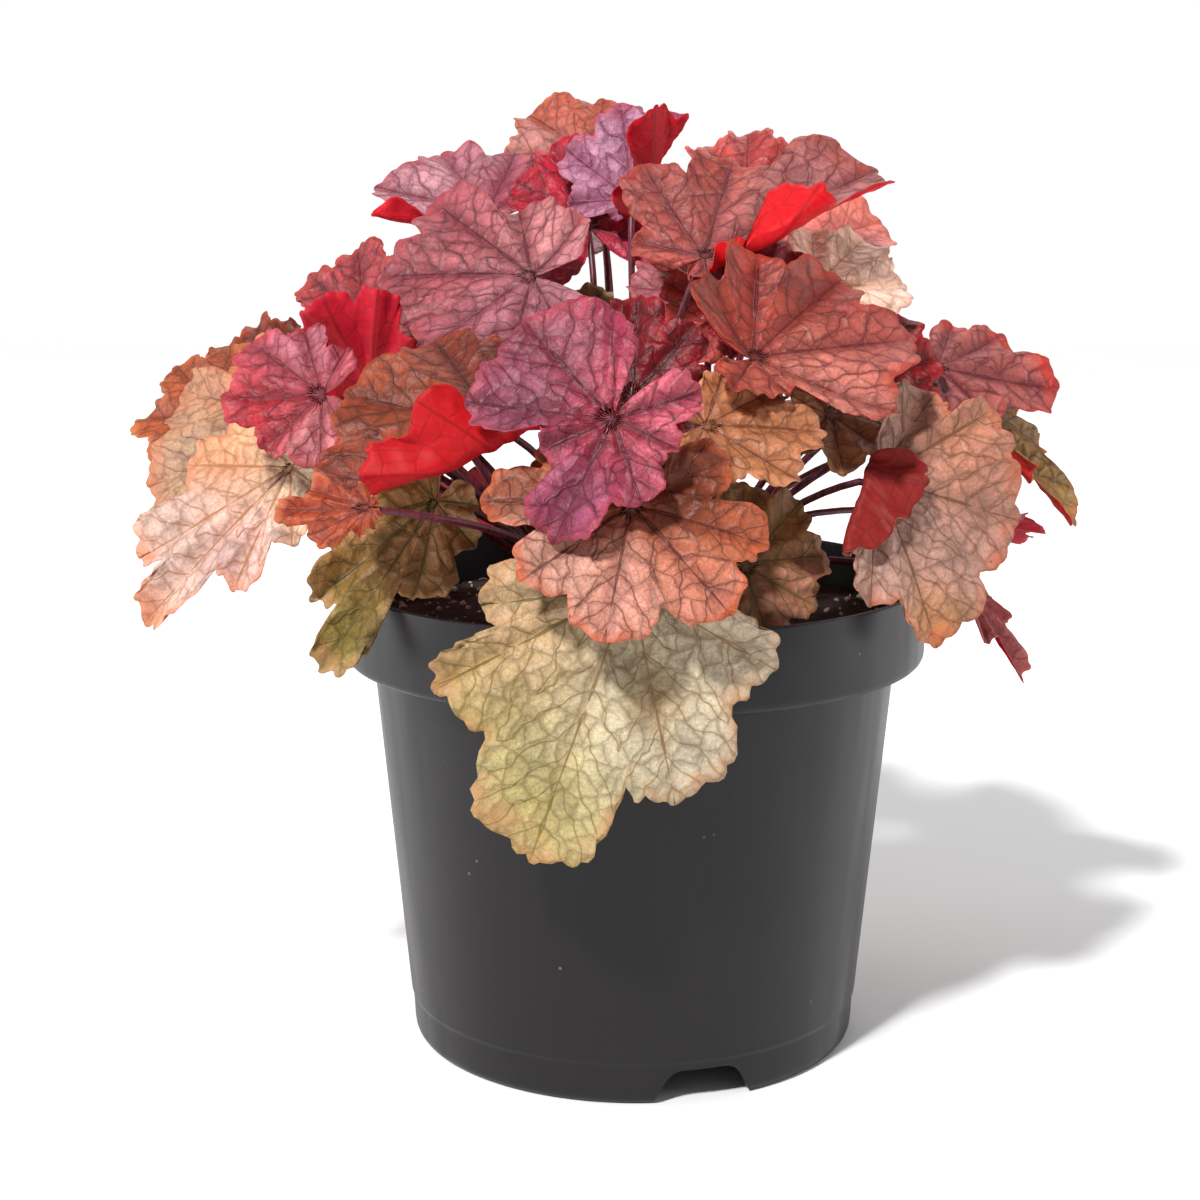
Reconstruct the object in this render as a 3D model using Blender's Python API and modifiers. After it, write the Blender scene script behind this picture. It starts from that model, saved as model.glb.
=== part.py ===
"""Heuchera in a round black nursery pot.

Every leaf is one solid: a lobed, waved blade on its petiole, whose foot stands in a hole of the soil.
The leaves of the front are laid out as seen from the front: a blade's foot and its seven lobe tips are
given across and up, in millimetres, on the upright plane through the pot's axis, and the blade's own
plane is given by its depth and the way it faces. The leaves of the back are given in space.
"""

import bmesh
import bpy
import numpy as np

# Sizes in millimetres, angles in degrees
POT_HEIGHT = 153.5
RIM_RADIUS = 95.0
COLLAR_HEIGHT = 26.0
WALL_TOP_RADIUS = 85.6
WALL_FOOT_RADIUS = 73.7
WALL = 1.8
FLOOR_UNDER = 12.4
FLOOR_TOP = 14.4
POT_STEPS = 36
NOTCH_BEARINGS = (-72.5, 47.5, 167.5)
NOTCH_FOOT_WIDTH = 32.0
NOTCH_TOP_WIDTH = 21.0
NOTCH_HEIGHT = 11.0
NOTCH_REACH = (60.0, 82.0)
SOIL_LEVEL = 140.0
GAP = 0.35
HOLE_DEPTH = 14.0
HOLE_RADIUS = 2.05
HOLE_SIDES = 5
BLADE_THICKNESS = 0.8
PETIOLE_FOOT_RADIUS = 1.35
PETIOLE_TOP_RADIUS = 1.05
AXIS_ACROSS = 10.6
AXIS_AWAY = -14.4

# The eye of the front view: this far in front of the pot's axis and this high
EYE = np.array([0.0, -694.0, 281.5])

# Bearing from the midrib of the seven lobes of a regular blade, and their reach
LOBES = np.array([-128.0, -84.0, -42.0, 0.0, 42.0, 84.0, 128.0])
LOBE_BEARINGS = np.array([-122.0, -80.0, -40.0, 0.0, 40.0, 80.0, 122.0])
LOBE_REACHES = np.array([0.60, 0.80, 0.93, 1.0, 0.93, 0.80, 0.60])

# Bearings of the points of the outline: sinus, tooth, notch and tip of each lobe
OUTLINE = np.array(
    [-166, -156, -144, -131, -117, -105, -97.5, -88.5, -79.5, -70.5, -63, -55.5, -46.5, -37.5]
    + [-28.5, -21, -13.5, -6, 0, 6, 13.5, 21, 28.5, 37.5, 46.5, 55.5, 63, 70.5, 79.5, 88.5]
    + [97.5, 105, 117, 131, 144, 156, 166]
)
SMALL_BLADE = 38.0

COLOURS = {
    "pot": (0.012, 0.011, 0.012),
    "soil": (0.018, 0.012, 0.009),
    "mauve": (0.38, 0.20, 0.26),
    "crimson": (0.26, 0.015, 0.035),
    "rose": (0.36, 0.13, 0.12),
    "orange": (0.52, 0.15, 0.06),
    "brown": (0.20, 0.05, 0.025),
    "tan": (0.50, 0.25, 0.10),
    "peach": (0.60, 0.30, 0.20),
    "cream": (0.62, 0.50, 0.33),
    "olive": (0.26, 0.19, 0.06),
}


def leaf(colour, foot, facing, tips, **more):
    """A leaf laid out from the front: foot is (across, up, depth), tips are seven (across, up)."""
    return dict(colour=colour, foot=foot, facing=facing, tips=tips, **more)


def back_leaf(colour, place, heading, facing, length):
    """A leaf given in space: place of the blade's foot, way of its midrib and way it faces."""
    return dict(colour=colour, place=place, heading=heading, facing=facing, length=length)


# bends: (bearing of the way it bends, distance out, angle, radius), the last three per blade length
LEAVES = [
    # top of the plant
    leaf("orange", (-14, 287, 77), (-0.1, -0.65, 0.7),
         [(-19, 279), (-33, 281), (-43, 290), (-34, 303), (-10, 306), (5, 299), (4, 287)]),
    leaf("mauve", (-1, 274, 23), (-0.3, -0.85, 0.4),
         [(-8, 268), (-22, 274), (-22, 290), (-4, 303), (14, 302), (31, 289), (21, 267)],
         bends=[(120, 0.04, 100, 0.14)]),
    leaf("mauve", (-47, 270, 52), (0, -0.68, 0.72),
         [(-46, 258), (-65, 254), (-85, 264), (-83, 279), (-62, 291), (-38, 289), (-27, 278)],
         bends=[(-100, 0.22, 90, 0.12)], rise=0.28),
    leaf("mauve", (-33, 250, -13), (-0.15, -0.65, 0.72),
         [(-19, 225), (-41, 220), (-69, 226), (-83, 253), (-65, 275), (-37, 271), (-15, 263)],
         lift=(0, 0, 0, 0, 0, 0, 0.4)),
    leaf("crimson", (-15, 266, 30), (-0.05, -0.75, 0.6),
         [(-33, 246), (-41, 262), (-38, 281), (-26, 292), (-4, 292), (12, 280), (13, 258)]),
    leaf("rose", (22, 256, -24), (0, -0.72, 0.69),
         [(-1, 262), (2, 284), (31, 290), (77, 288), (71, 260), (40, 248), (24, 247)],
         bends=[(95, 0.06, 165, 0.06)], spread=174),
    leaf("rose", (35, 275, 55), (0, -0.7, 0.7),
         [(21, 269), (15, 280), (22, 293), (36, 298), (52, 291), (54, 276), (47, 266)]),
    # right of the middle
    leaf("peach", (44, 258, 20), (0.2, -0.55, 0.8),
         [(24, 270), (39, 282), (62, 282), (79, 269), (79, 250), (59, 239), (40, 241)], rise=0.6),
    leaf("cream", (57, 246, -6), (0.25, -0.6, 0.75),
         [(44, 257), (57, 266), (74, 264), (87, 249), (82, 233), (67, 227), (51, 232)]),
    leaf("rose", (38, 224, -50), (0.05, -0.7, 0.7),
         [(22, 240), (39, 254), (67, 253), (91, 232), (84, 204), (50, 211), (30, 209)],
         lift=(0.7, 0.16, 0, 0, 0, 0, 0.5)),
    leaf("crimson", (38, 240, -23), (0, -0.9, 0.4),
         [(24, 232), (20, 243), (25, 258), (38, 264), (54, 257), (60, 245), (52, 231)]),
    leaf("rose", (30, 237, -14), (0.1, -0.8, 0.6),
         [(32, 224), (19, 223), (9, 235), (9, 249), (21, 257), (36, 254), (41, 244)]),
    leaf("mauve", (19, 245, 6), (0, -0.7, 0.7),
         [(25, 235), (13, 229), (1, 233), (-3, 246), (4, 258), (17, 260), (27, 255)], rise=0.45),
    # right side
    leaf("crimson", (75, 216, -5), (0.1, -0.85, 0.5),
         [(64, 224), (72, 236), (88, 238), (98, 226), (99, 208), (87, 197), (74, 200)]),
    leaf("mauve", (97, 221, 11), (0.3, -0.6, 0.75),
         [(92, 231), (102, 235), (117, 230), (136, 213), (119, 204), (103, 205), (93, 212)]),
    leaf("brown", (112, 208, 26), (0.55, -0.6, 0.5),
         [(116, 216), (124, 208), (134, 197), (145, 170), (124, 180), (113, 196), (109, 205)],
         bends=[(90, 0.1, 40, 0.12)]),
    leaf("olive", (63, 206, -27), (0.1, -0.6, 0.8),
         [(53, 218), (65, 223), (82, 221), (91, 206), (85, 191), (69, 187), (54, 194)]),
    leaf("peach", (79, 185, -49), (0.35, -0.82, 0.42),
         [(97, 213), (115, 207), (127, 172), (103, 130), (78, 142), (64, 160), (54, 197)],
         bends=[(132, 0.05, 160, 0.045)]),
    leaf("crimson", (109, 150, -16), (0.5, -0.8, 0.2),
         [(113, 150), (118, 146), (125, 137), (131, 118), (117, 130), (110, 139), (107, 144)],
         rise=0.46),
    # front
    leaf("mauve", (-7, 204, -94), (-0.05, -0.85, 0.5),
         [(22, 214), (15, 194), (3, 175), (-27, 165), (-31, 194), (-55, 209), (-36, 236)], spread=172),
    leaf("crimson", (-1, 211, -49), (0, -0.9, 0.4),
         [(-20, 200), (-29, 217), (-21, 235), (1, 245), (20, 234), (26, 215), (16, 200)]),
    leaf("tan", (23, 202, -65), (0.1, -0.75, 0.65),
         [(17, 212), (28, 219), (48, 216), (63, 202), (54, 184), (31, 181), (16, 190)], ripple=0.04),
    leaf("peach", (-1, 176, -97), (0.02, -0.85, 0.52),
         [(31, 193), (45, 164), (33, 140), (-10, 129), (-38, 150), (-51, 180), (-29, 202)],
         sinus=0.26),
    leaf("cream", (-1, 149, -98), (0, -0.99, 0.1),
         [(31, 152), (48, 120), (14, 75), (-35, 55), (-68, 113), (-52, 142), (-24, 170)], sinus=0.25,
         bends=[(180, 0.02, -75, 0.1)]),
    leaf("olive", (36, 156, -60), (0.25, -0.8, 0.5),
         [(20, 173), (36, 184), (55, 178), (65, 161), (61, 142), (45, 130), (27, 137)]),
    leaf("brown", (-44, 201, -73), (-0.15, -0.65, 0.75),
         [(-24, 182), (-48, 167), (-79, 163), (-103, 176), (-94, 212), (-65, 232), (-36, 234)],
         bends=[(-95, 0.08, 150, 0.08)]),
    leaf("rose", (-87, 175, -104), (-0.25, -0.75, 0.6),
         [(-84, 171), (-91, 166), (-107, 165), (-117, 173), (-107, 181), (-92, 182), (-86, 179)]),
    leaf("olive", (-65, 177, -51), (-0.25, -0.88, 0.35),
         [(-51, 176), (-53, 162), (-72, 143), (-104, 119), (-106, 143), (-104, 168), (-79, 192)],
         bends=[(80, 0.2, 45, 0.2)]),
    # left side
    leaf("cream", (-105, 203, 1), (-0.4, -0.65, 0.65),
         [(-95, 190), (-111, 181), (-137, 175), (-159, 181), (-147, 214), (-127, 224), (-104, 222)]),
    leaf("peach", (-112, 188, -26), (-0.4, -0.8, 0.45),
         [(-101, 180), (-113, 162), (-134, 147), (-166, 137), (-165, 158), (-148, 190), (-130, 208)]),
    leaf("orange", (-133, 204, 28), (-0.35, -0.6, 0.7),
         [(-127, 188), (-144, 181), (-158, 190), (-161, 206), (-149, 222), (-131, 229), (-120, 219)]),
    leaf("mauve", (-101, 212, -45), (-0.3, -0.8, 0.5),
         [(-92, 198), (-103, 187), (-122, 194), (-133, 210), (-125, 230), (-108, 235), (-93, 228)]),
    leaf("crimson", (-85, 214, -20), (0.35, 0.75, 0.45),
         [(-70, 214), (-71, 230), (-83, 245), (-101, 244), (-111, 225), (-101, 209), (-86, 201)]),
    leaf("rose", (-86, 233, 22), (-0.3, -0.75, 0.55),
         [(-99, 221), (-108, 233), (-105, 251), (-90, 261), (-71, 255), (-64, 241), (-70, 226)]),
    leaf("orange", (-121, 222, 57), (-0.3, -0.6, 0.7),
         [(-130, 212), (-133, 220), (-133, 229), (-122, 237), (-111, 236), (-105, 227), (-110, 217)]),
    leaf("tan", (-66, 215, -6), (-0.1, -0.7, 0.7),
         [(-75, 210), (-80, 217), (-76, 228), (-65, 233), (-56, 228), (-52, 218), (-57, 210)], rise=0.2),
    leaf("olive", (-24, 228, -3), (0, -0.8, 0.6),
         [(-32, 220), (-38, 228), (-36, 239), (-27, 245), (-16, 242), (-10, 234), (-13, 224)]),
    leaf("olive", (-18, 231, 5), (0.1, -0.8, 0.6),
         [(-28, 230), (-29, 239), (-23, 246), (-10, 247), (-3, 239), (-4, 228), (-12, 222)], rise=0.3),
    # back
    back_leaf("peach", (-98, 66, 179), (-0.7, 0.5, -0.45), (-0.4, 0.5, 0.75), 56),
    back_leaf("tan", (-34, 72, 214), (-0.2, 0.95, -0.15), (0, 0.35, 0.92), 50),
    back_leaf("peach", (32, 76, 200), (0.25, 0.9, -0.3), (0.1, 0.45, 0.88), 56),
    back_leaf("cream", (86, 54, 188), (0.75, 0.55, -0.3), (0.4, 0.4, 0.8), 52),
    back_leaf("rose", (-45, 52, 242), (-0.6, 0.75, 0.1), (-0.3, 0.45, 0.85), 44),
    back_leaf("mauve", (-10, 78, 256), (-0.05, 1, 0.1), (0, 0.4, 0.9), 44),
    back_leaf("rose", (50, 54, 250), (0.6, 0.8, 0.05), (0.3, 0.4, 0.85), 44),
    back_leaf("orange", (2, 92, 232), (0.1, 1, -0.2), (0, 0.4, 0.9), 44),
    back_leaf("rose", (-49, 96, 163), (-0.35, 0.75, -0.6), (-0.2, 0.6, 0.75), 50),
    back_leaf("tan", (2, 104, 176), (0.05, 0.85, -0.6), (0, 0.6, 0.8), 54),
    back_leaf("mauve", (114, 78, 160), (0.8, 0.5, -0.4), (0.3, 0.5, 0.8), 40),
]
# Number of petiole feet in each ring about the axis, and the ring's radius
FOOT_RINGS = ((7, 6.5), (14, 13.5), (60, 21.0))


def unit(vector):
    return np.asarray(vector, float) / np.linalg.norm(vector)


def place_of(spec):
    """Where the petiole meets the blade: on the sight line through (across, up), at the given depth."""
    if "place" in spec:
        return np.array(spec["place"], float)
    across, up, depth = spec["foot"]
    return EYE + (np.array([across, 0, up]) - EYE) * (depth - EYE[1]) / -EYE[1]


def draws(seed):
    """A leaf's own small differences: lobes' bearings, their reaches, and the phases of its waves."""
    draw = np.random.default_rng(seed)
    return draw.uniform(-3, 3, 7), draw.uniform(0.95, 1.05, 7), draw.uniform(0, 2 * np.pi, 3)


def sinus_depths(spec, seed):
    """How deep the outline dips between neighbouring lobes, as a share of its reach."""
    return spec.get("sinus", 0.14) * np.random.default_rng(seed + 100).uniform(0.5, 1.5, 6)


def plan_of(spec, seed):
    """The blade's axes (across, along the midrib, facing), length, and the lobes' bearings and reaches."""
    place = place_of(spec)
    facing = unit(spec["facing"])
    if "tips" in spec:
        sight = np.array([(x, 0, z) for x, z in spec["tips"]], float) - EYE
        tips = EYE + sight * (((place - EYE) @ facing) / (sight @ facing))[:, None] - place
        along = unit(tips[3])
        across = np.cross(along, facing)
        length = np.linalg.norm(tips[3])
        bearings = np.degrees(np.arctan2(tips @ across, tips @ along))
        bearings[0] -= 360 * (bearings[0] > 0)
        bearings[6] += 360 * (bearings[6] < 0)
        reaches = np.linalg.norm(tips, axis=1) / length
    else:
        along = unit(spec["heading"])
        facing = unit(facing - (facing @ along) * along)
        across = np.cross(along, facing)
        length = spec["length"]
        more, times, _ = draws(seed)
        bearings = LOBE_BEARINGS + more
        reaches = LOBE_REACHES * times
    return place, np.array([across, along, facing]), length, bearings, reaches


def outline(bearing, reaches, sinus):
    """Reach of the outline at nominal bearings: each lobe falls off to its sides, with rounded teeth."""
    off = np.abs(bearing[:, None] - LOBES) / np.array([23, 21, 21, 21, 21, 21, 23])
    depth = np.interp(bearing, [-106, -63, -21, 21, 63, 106], sinus)[:, None]
    reach = reaches * (1 - depth * np.minimum(off, 1.65) ** 3.2)
    reach = reach * (1 - 0.035 * np.sin(np.pi * off / 0.72) ** 2)
    beside = (off > 1.15) & (np.abs(bearing[:, None]) < 105)
    return np.where((off > 1.7) | beside, 0, reach).max(axis=1).clip(0.06)


def bend(points, bearing, start, angle, radius):
    """Rolls what lies beyond a line across the bearing on to a cylinder, then straight on."""
    way = np.array([np.sin(np.radians(bearing)), np.cos(np.radians(bearing))])
    past = points[:, :2] @ way - start
    full = abs(np.radians(angle))
    sign = np.sign(angle)
    turned = np.minimum(past / radius, full)
    flat = past - radius * turned
    run = radius * np.sin(turned) + flat * np.cos(turned)
    rise = radius * (1 - np.cos(turned)) + flat * np.sin(turned)
    height = points[:, 2]
    moved = points.copy()
    moved[:, :2] += np.where(past > 0, run - sign * height * np.sin(turned) - past, 0)[:, None] * way
    moved[:, 2] = np.where(past > 0, sign * rise + height * np.cos(turned), height)
    return moved


def lobe_share(bearing, values):
    """The lobes' values, blended smoothly between neighbours."""
    at = np.interp(bearing, LOBES, np.arange(7))
    left = np.minimum(at.astype(int), 5)
    part = at - left
    part = part * part * (3 - 2 * part)
    values = np.asarray(values, float)
    return values[left] * (1 - part) + values[left + 1] * part


def blade_points(spec, seed, bearing, share):
    """Points of the blade's middle surface at nominal bearings and shares of the outline's reach."""
    _, _, phase = draws(seed)
    place, axes, length, bearings, reaches = plan_of(spec, seed)
    reach = outline(bearing, reaches, sinus_depths(spec, seed))
    spread = spec.get("spread", 166)
    first = max(min(-spread, bearings[0] - 25), -178)
    last = min(max(spread, bearings[6] + 25), 178)
    turn = np.radians(np.interp(bearing, [-166, *LOBES, 166], [first, *bearings, last]))
    out = reach * share
    rise = share**2 * np.minimum(reach, 1)
    height = -spec.get("ripple", 0.06) * rise * np.cos(np.radians(bearing) * 360 / 42)
    waves = np.sin(2 * turn + phase[0]) + 0.7 * np.sin(3.3 * turn + phase[1])
    height += 0.06 * rise * (waves + 0.4 * np.sin(5.1 * turn + phase[2]))
    height += rise * lobe_share(bearing, spec.get("lift", np.zeros(7)))
    points = np.stack([out * np.sin(turn), out * np.cos(turn), height], axis=1)
    for one in spec.get("bends", ()):
        points = bend(points, *one)
    return place + length * points @ axes


def blade_mesh(spec, seed):
    """Fans and bands of triangles between the foot, a ring of 10, a ring of 19 and an outline of 37."""
    _, _, length, _, reaches = plan_of(spec, seed)
    small = length * max(1, reaches.max()) < SMALL_BLADE
    rings = [OUTLINE[::4], OUTLINE[::2]] if small else [OUTLINE[::4], OUTLINE[::2], OUTLINE]
    shares = [0.55, 1.0] if small else [0.38, 0.72, 1.0]
    bearing = np.concatenate([[0], *rings])
    share = np.concatenate([[0]] + [np.full(len(r), s) for r, s in zip(rings, shares)])
    points = blade_points(spec, seed, bearing.astype(float), share)
    faces = [(0, i + 2, i + 1) for i in range(len(rings[0]) - 1)]
    inner = 1
    for ring in rings[:-1]:
        outer = inner + len(ring)
        for i in range(len(ring) - 1):
            a, b = inner + i, outer + 2 * i
            faces += [(a, b + 1, b), (a, a + 1, b + 1), (a + 1, b + 2, b + 1)]
        inner = outer
    return points, faces


def foot_places():
    """Feet of the petioles in three rings: the higher a leaf, the nearer the middle it starts."""
    places = np.array([place_of(spec) for spec in LEAVES])
    rank = places[:, 2] - 0.35 * np.hypot(places[:, 0], places[:, 1])
    order = sorted(range(len(LEAVES)), key=lambda i: -rank[i])
    feet = {}
    for count, radius in FOOT_RINGS:
        ring, order = order[:count], order[count:]
        if not ring:
            break
        bearing = np.arctan2(places[ring, 1], places[ring, 0]) % (2 * np.pi)
        sorted_ring = np.argsort(bearing)
        even = np.arange(len(ring)) * 2 * np.pi / len(ring)
        turn = np.angle(np.exp(1j * (bearing[sorted_ring] - even)).sum())
        for k, j in enumerate(sorted_ring):
            angle = even[k] + turn
            feet[ring[j]] = radius * np.array([np.cos(angle), np.sin(angle)])
    return [feet[i] for i in range(len(LEAVES))]


def petiole_path(spec, seed, foot, count=5):
    """Straight in its hole, then an arch up to the blade and a little way on under the midrib."""
    place, axes, _, _, _ = plan_of(spec, seed)
    start = np.array([foot[0], foot[1], SOIL_LEVEL + 1.0])
    chord = place - start
    way = unit(chord)
    end_way = unit(0.3 * axes[1] - 0.25 * axes[2] + 0.8 * way)
    start_way = unit(np.array([*(unit(foot) * 0.25), 1.0]) + way * 0.8)
    size = np.linalg.norm(chord)
    p1 = start + start_way * size * spec.get("rise", 0.36)
    p2 = place - end_way * size * 0.3
    t = np.linspace(0, 1, count)[:, None]
    arch = (1 - t) ** 3 * start + 3 * (1 - t) ** 2 * t * p1 + 3 * (1 - t) * t**2 * p2 + t**3 * place
    below = start - [0, 0, HOLE_DEPTH - 1]
    near, on = np.array([0.0, 0.0]), np.array([0.05, 0.14])
    under = blade_points(spec, seed, near, on) - axes[2] * PETIOLE_TOP_RADIUS * 0.7
    return np.array([below, *arch[:-1], under[0], under[1]])


def clear_scene():
    for thing in list(bpy.data.objects):
        bpy.data.objects.remove(thing, do_unlink=True)
    for group in list(bpy.data.collections):
        bpy.data.collections.remove(group)


def new_collection(name, helper=False):
    group = bpy.data.collections.new(name)
    bpy.context.scene.collection.children.link(group)
    group.hide_render = helper
    return group


def material(name):
    made = bpy.data.materials.get(name)
    if made is None:
        made = bpy.data.materials.new(name)
        made.use_nodes = True
        shader = made.node_tree.nodes["Principled BSDF"]
        shader.inputs["Base Color"].default_value = (*COLOURS[name], 1)
        shader.inputs["Roughness"].default_value = 0.9 if name == "soil" else 0.45
        made.diffuse_color = (*COLOURS[name], 1)
    return made


def mesh_object(name, points, faces, group):
    """A mesh object; points are millimetres about the pot's axis and are set out in metres."""
    shift = np.array([AXIS_ACROSS, AXIS_AWAY, 0])
    mesh = bpy.data.meshes.new(name)
    corners = (np.asarray(points) + shift) / 1000
    mesh.from_pydata(corners.tolist(), [], [tuple(map(int, face)) for face in faces])
    mesh.update()
    thing = bpy.data.objects.new(name, mesh)
    group.objects.link(thing)
    return thing


def turned_object(name, profile, group):
    """The profile (radius, height), from its start inside to its end inside, turned about the pot's axis."""
    mesh = bpy.data.meshes.new(name)
    points = [(r / 1000, 0, z / 1000) for r, z in profile]
    mesh.from_pydata(points, [(i, i + 1) for i in range(len(points) - 1)], [])
    thing = bpy.data.objects.new(name, mesh)
    group.objects.link(thing)
    thing.location = (AXIS_ACROSS / 1000, AXIS_AWAY / 1000, 0)
    screw = thing.modifiers.new("Turned", "SCREW")
    screw.axis = "Z"
    screw.steps = POT_STEPS
    screw.render_steps = POT_STEPS
    screw.use_merge_vertices = True
    screw.merge_threshold = 0.00001
    screw.use_normal_calculate = True
    return thing


def boolean(thing, other, operation, solver="EXACT"):
    step = thing.modifiers.new(operation.title(), "BOOLEAN")
    step.operation = operation
    step.object = other
    step.solver = solver


def settle(thing):
    """Puts the result of the modifiers in place of the mesh, with every flat loose end welded."""
    bpy.context.view_layer.update()
    graph = bpy.context.evaluated_depsgraph_get()
    mesh = bpy.data.meshes.new_from_object(thing.evaluated_get(graph))
    thing.modifiers.clear()
    thing.data = mesh
    work = bmesh.new()
    work.from_mesh(mesh)
    bmesh.ops.remove_doubles(work, verts=work.verts, dist=0.000001)
    bmesh.ops.triangulate(work, faces=work.faces)
    bmesh.ops.recalc_face_normals(work, faces=work.faces)
    work.to_mesh(mesh)
    work.free()


def finish(thing, slot):
    thing.data.materials.clear()
    thing.data.materials.append(material(slot))
    for face in thing.data.polygons:
        face.use_smooth = slot != "soil"


def prism(points, low, high):
    """Corners and faces of an upright prism over a ring of points (x, y), going round against the clock."""
    count = len(points)
    corners = [(*p, low) for p in points] + [(*p, high) for p in points]
    sides = [(i, (i + 1) % count, count + (i + 1) % count, count + i) for i in range(count)]
    return corners, sides + [tuple(range(count))[::-1], tuple(range(count, 2 * count))]


def build_pot(group, cutters):
    foot_line = WALL_FOOT_RADIUS
    slope = (WALL_TOP_RADIUS - WALL_FOOT_RADIUS) / (POT_HEIGHT - COLLAR_HEIGHT)
    under_collar = POT_HEIGHT - COLLAR_HEIGHT

    def wall(z):
        return foot_line + slope * z

    profile = [
        (0, FLOOR_TOP),
        (wall(FLOOR_TOP) - WALL - 1.6, FLOOR_TOP),
        (wall(FLOOR_TOP + 1.6) - WALL, FLOOR_TOP + 1.6),
        (wall(under_collar) - WALL, under_collar + 0.6),
        (RIM_RADIUS - WALL - 2.2, under_collar + WALL + 0.4),
        (RIM_RADIUS - WALL, under_collar + 5.0),
        (RIM_RADIUS - WALL - 0.2, POT_HEIGHT - 0.8),
        (RIM_RADIUS - WALL + 0.4, POT_HEIGHT),
        (RIM_RADIUS - 0.9, POT_HEIGHT),
        (RIM_RADIUS - 0.3, POT_HEIGHT - 0.9),
        (RIM_RADIUS, under_collar + 5.4),
        (RIM_RADIUS - 0.9, under_collar + 2.2),
        (RIM_RADIUS - 3.4, under_collar + 0.2),
        (wall(under_collar) + 1.2, under_collar - 0.6),
        (wall(under_collar), under_collar - 2.0),
        (wall(4.8), 4.8),
        (wall(2) - 0.8, 1.7),
        (wall(0) - 2.6, 0),
        (wall(0) - 5.4, 0),
        (wall(FLOOR_UNDER) - WALL - 1.2, FLOOR_UNDER),
        (0, FLOOR_UNDER),
    ]
    pot = turned_object("pot", profile, group)
    for bearing in NOTCH_BEARINGS:
        half, top = NOTCH_FOOT_WIDTH / 2, NOTCH_TOP_WIDTH / 2
        right = [(half, 0), (half - 2.5, 3.5), (top + 1.2, 9.0), (top - 1.5, NOTCH_HEIGHT)]
        left = [(-across, up) for across, up in right[::-1]]
        shape = [(-half - 1, -2), (half + 1, -2), *right, *left]
        corners, faces = prism(shape, *NOTCH_REACH)
        turn = np.radians(bearing)
        out = np.array([np.cos(turn), np.sin(turn), 0])
        side = np.array([-np.sin(turn), np.cos(turn), 0])
        points = [side * a + np.array([0, 0, b]) + out * c for a, b, c in corners]
        cutter = mesh_object(f"notch_cutter_{bearing:g}", points, faces, cutters)
        cutter.display_type = "WIRE"
        boolean(pot, cutter, "DIFFERENCE")
    settle(pot)
    finish(pot, "pot")
    return pot


def build_soil(group, cutters, feet):
    slope = (WALL_TOP_RADIUS - WALL_FOOT_RADIUS) / (POT_HEIGHT - COLLAR_HEIGHT)
    under_collar = POT_HEIGHT - COLLAR_HEIGHT
    low = FLOOR_TOP + GAP
    inner_low = WALL_FOOT_RADIUS + slope * low - WALL - GAP - 2.2
    inner_high = WALL_TOP_RADIUS - WALL - GAP
    profile = [
        (0, SOIL_LEVEL),
        (40, SOIL_LEVEL),
        (70, SOIL_LEVEL - 1.2),
        (RIM_RADIUS - WALL - GAP - 0.4, SOIL_LEVEL - 2.5),
        (RIM_RADIUS - WALL - GAP - 0.3, under_collar + 5.2),
        (RIM_RADIUS - WALL - GAP - 2.4, under_collar + WALL + 0.9),
        (inner_high, under_collar + 1.1),
        (inner_low + 1.9, low + 2.2),
        (inner_low, low),
        (0, low),
    ]
    soil = turned_object("soil", profile, group)
    corners, faces = [], []
    for foot in feet:
        angles = np.arange(HOLE_SIDES) * 2 * np.pi / HOLE_SIDES
        ring = [foot + HOLE_RADIUS * np.array([np.cos(a), np.sin(a)]) for a in angles]
        more, sides = prism(ring, SOIL_LEVEL - HOLE_DEPTH - GAP, SOIL_LEVEL + 5)
        faces += [tuple(i + len(corners) for i in side) for side in sides]
        corners += more
    cutter = mesh_object("petiole_hole_cutter", corners, faces, cutters)
    cutter.display_type = "WIRE"
    boolean(soil, cutter, "DIFFERENCE")
    settle(soil)
    finish(soil, "soil")
    return soil


def build_petiole(name, path, group):
    """A square tube along the path, thinner towards the blade."""
    curve = bpy.data.curves.new(name, "CURVE")
    curve.dimensions = "3D"
    curve.bevel_depth = PETIOLE_FOOT_RADIUS / 1000
    curve.bevel_resolution = 0
    curve.use_fill_caps = True
    spline = curve.splines.new("POLY")
    spline.points.add(len(path) - 1)
    taper = np.linspace(1, PETIOLE_TOP_RADIUS / PETIOLE_FOOT_RADIUS, len(path))
    for point, at, size in zip(spline.points, path, taper):
        point.co = (*(at + [AXIS_ACROSS, AXIS_AWAY, 0]) / 1000, 1)
        point.radius = size
    tube = bpy.data.objects.new(name + "_curve", curve)
    group.objects.link(tube)
    bpy.context.view_layer.update()
    mesh = bpy.data.meshes.new_from_object(tube)
    bpy.data.objects.remove(tube, do_unlink=True)
    thing = bpy.data.objects.new(name, mesh)
    group.objects.link(thing)
    settle(thing)
    return thing


def build_leaf(index, spec, foot, group, helpers):
    name = f"leaf_{index + 1:02d}"
    blade = mesh_object(name, *blade_mesh(spec, index), group)
    thick = blade.modifiers.new("Thickness", "SOLIDIFY")
    thick.thickness = BLADE_THICKNESS / 1000
    thick.offset = 0
    settle(blade)
    petiole = build_petiole(f"petiole_{index + 1:02d}", petiole_path(spec, index, foot), helpers)
    boolean(blade, petiole, "UNION", "MANIFOLD")
    settle(blade)
    bpy.data.objects.remove(petiole, do_unlink=True)
    finish(blade, spec["colour"])
    return blade


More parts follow.
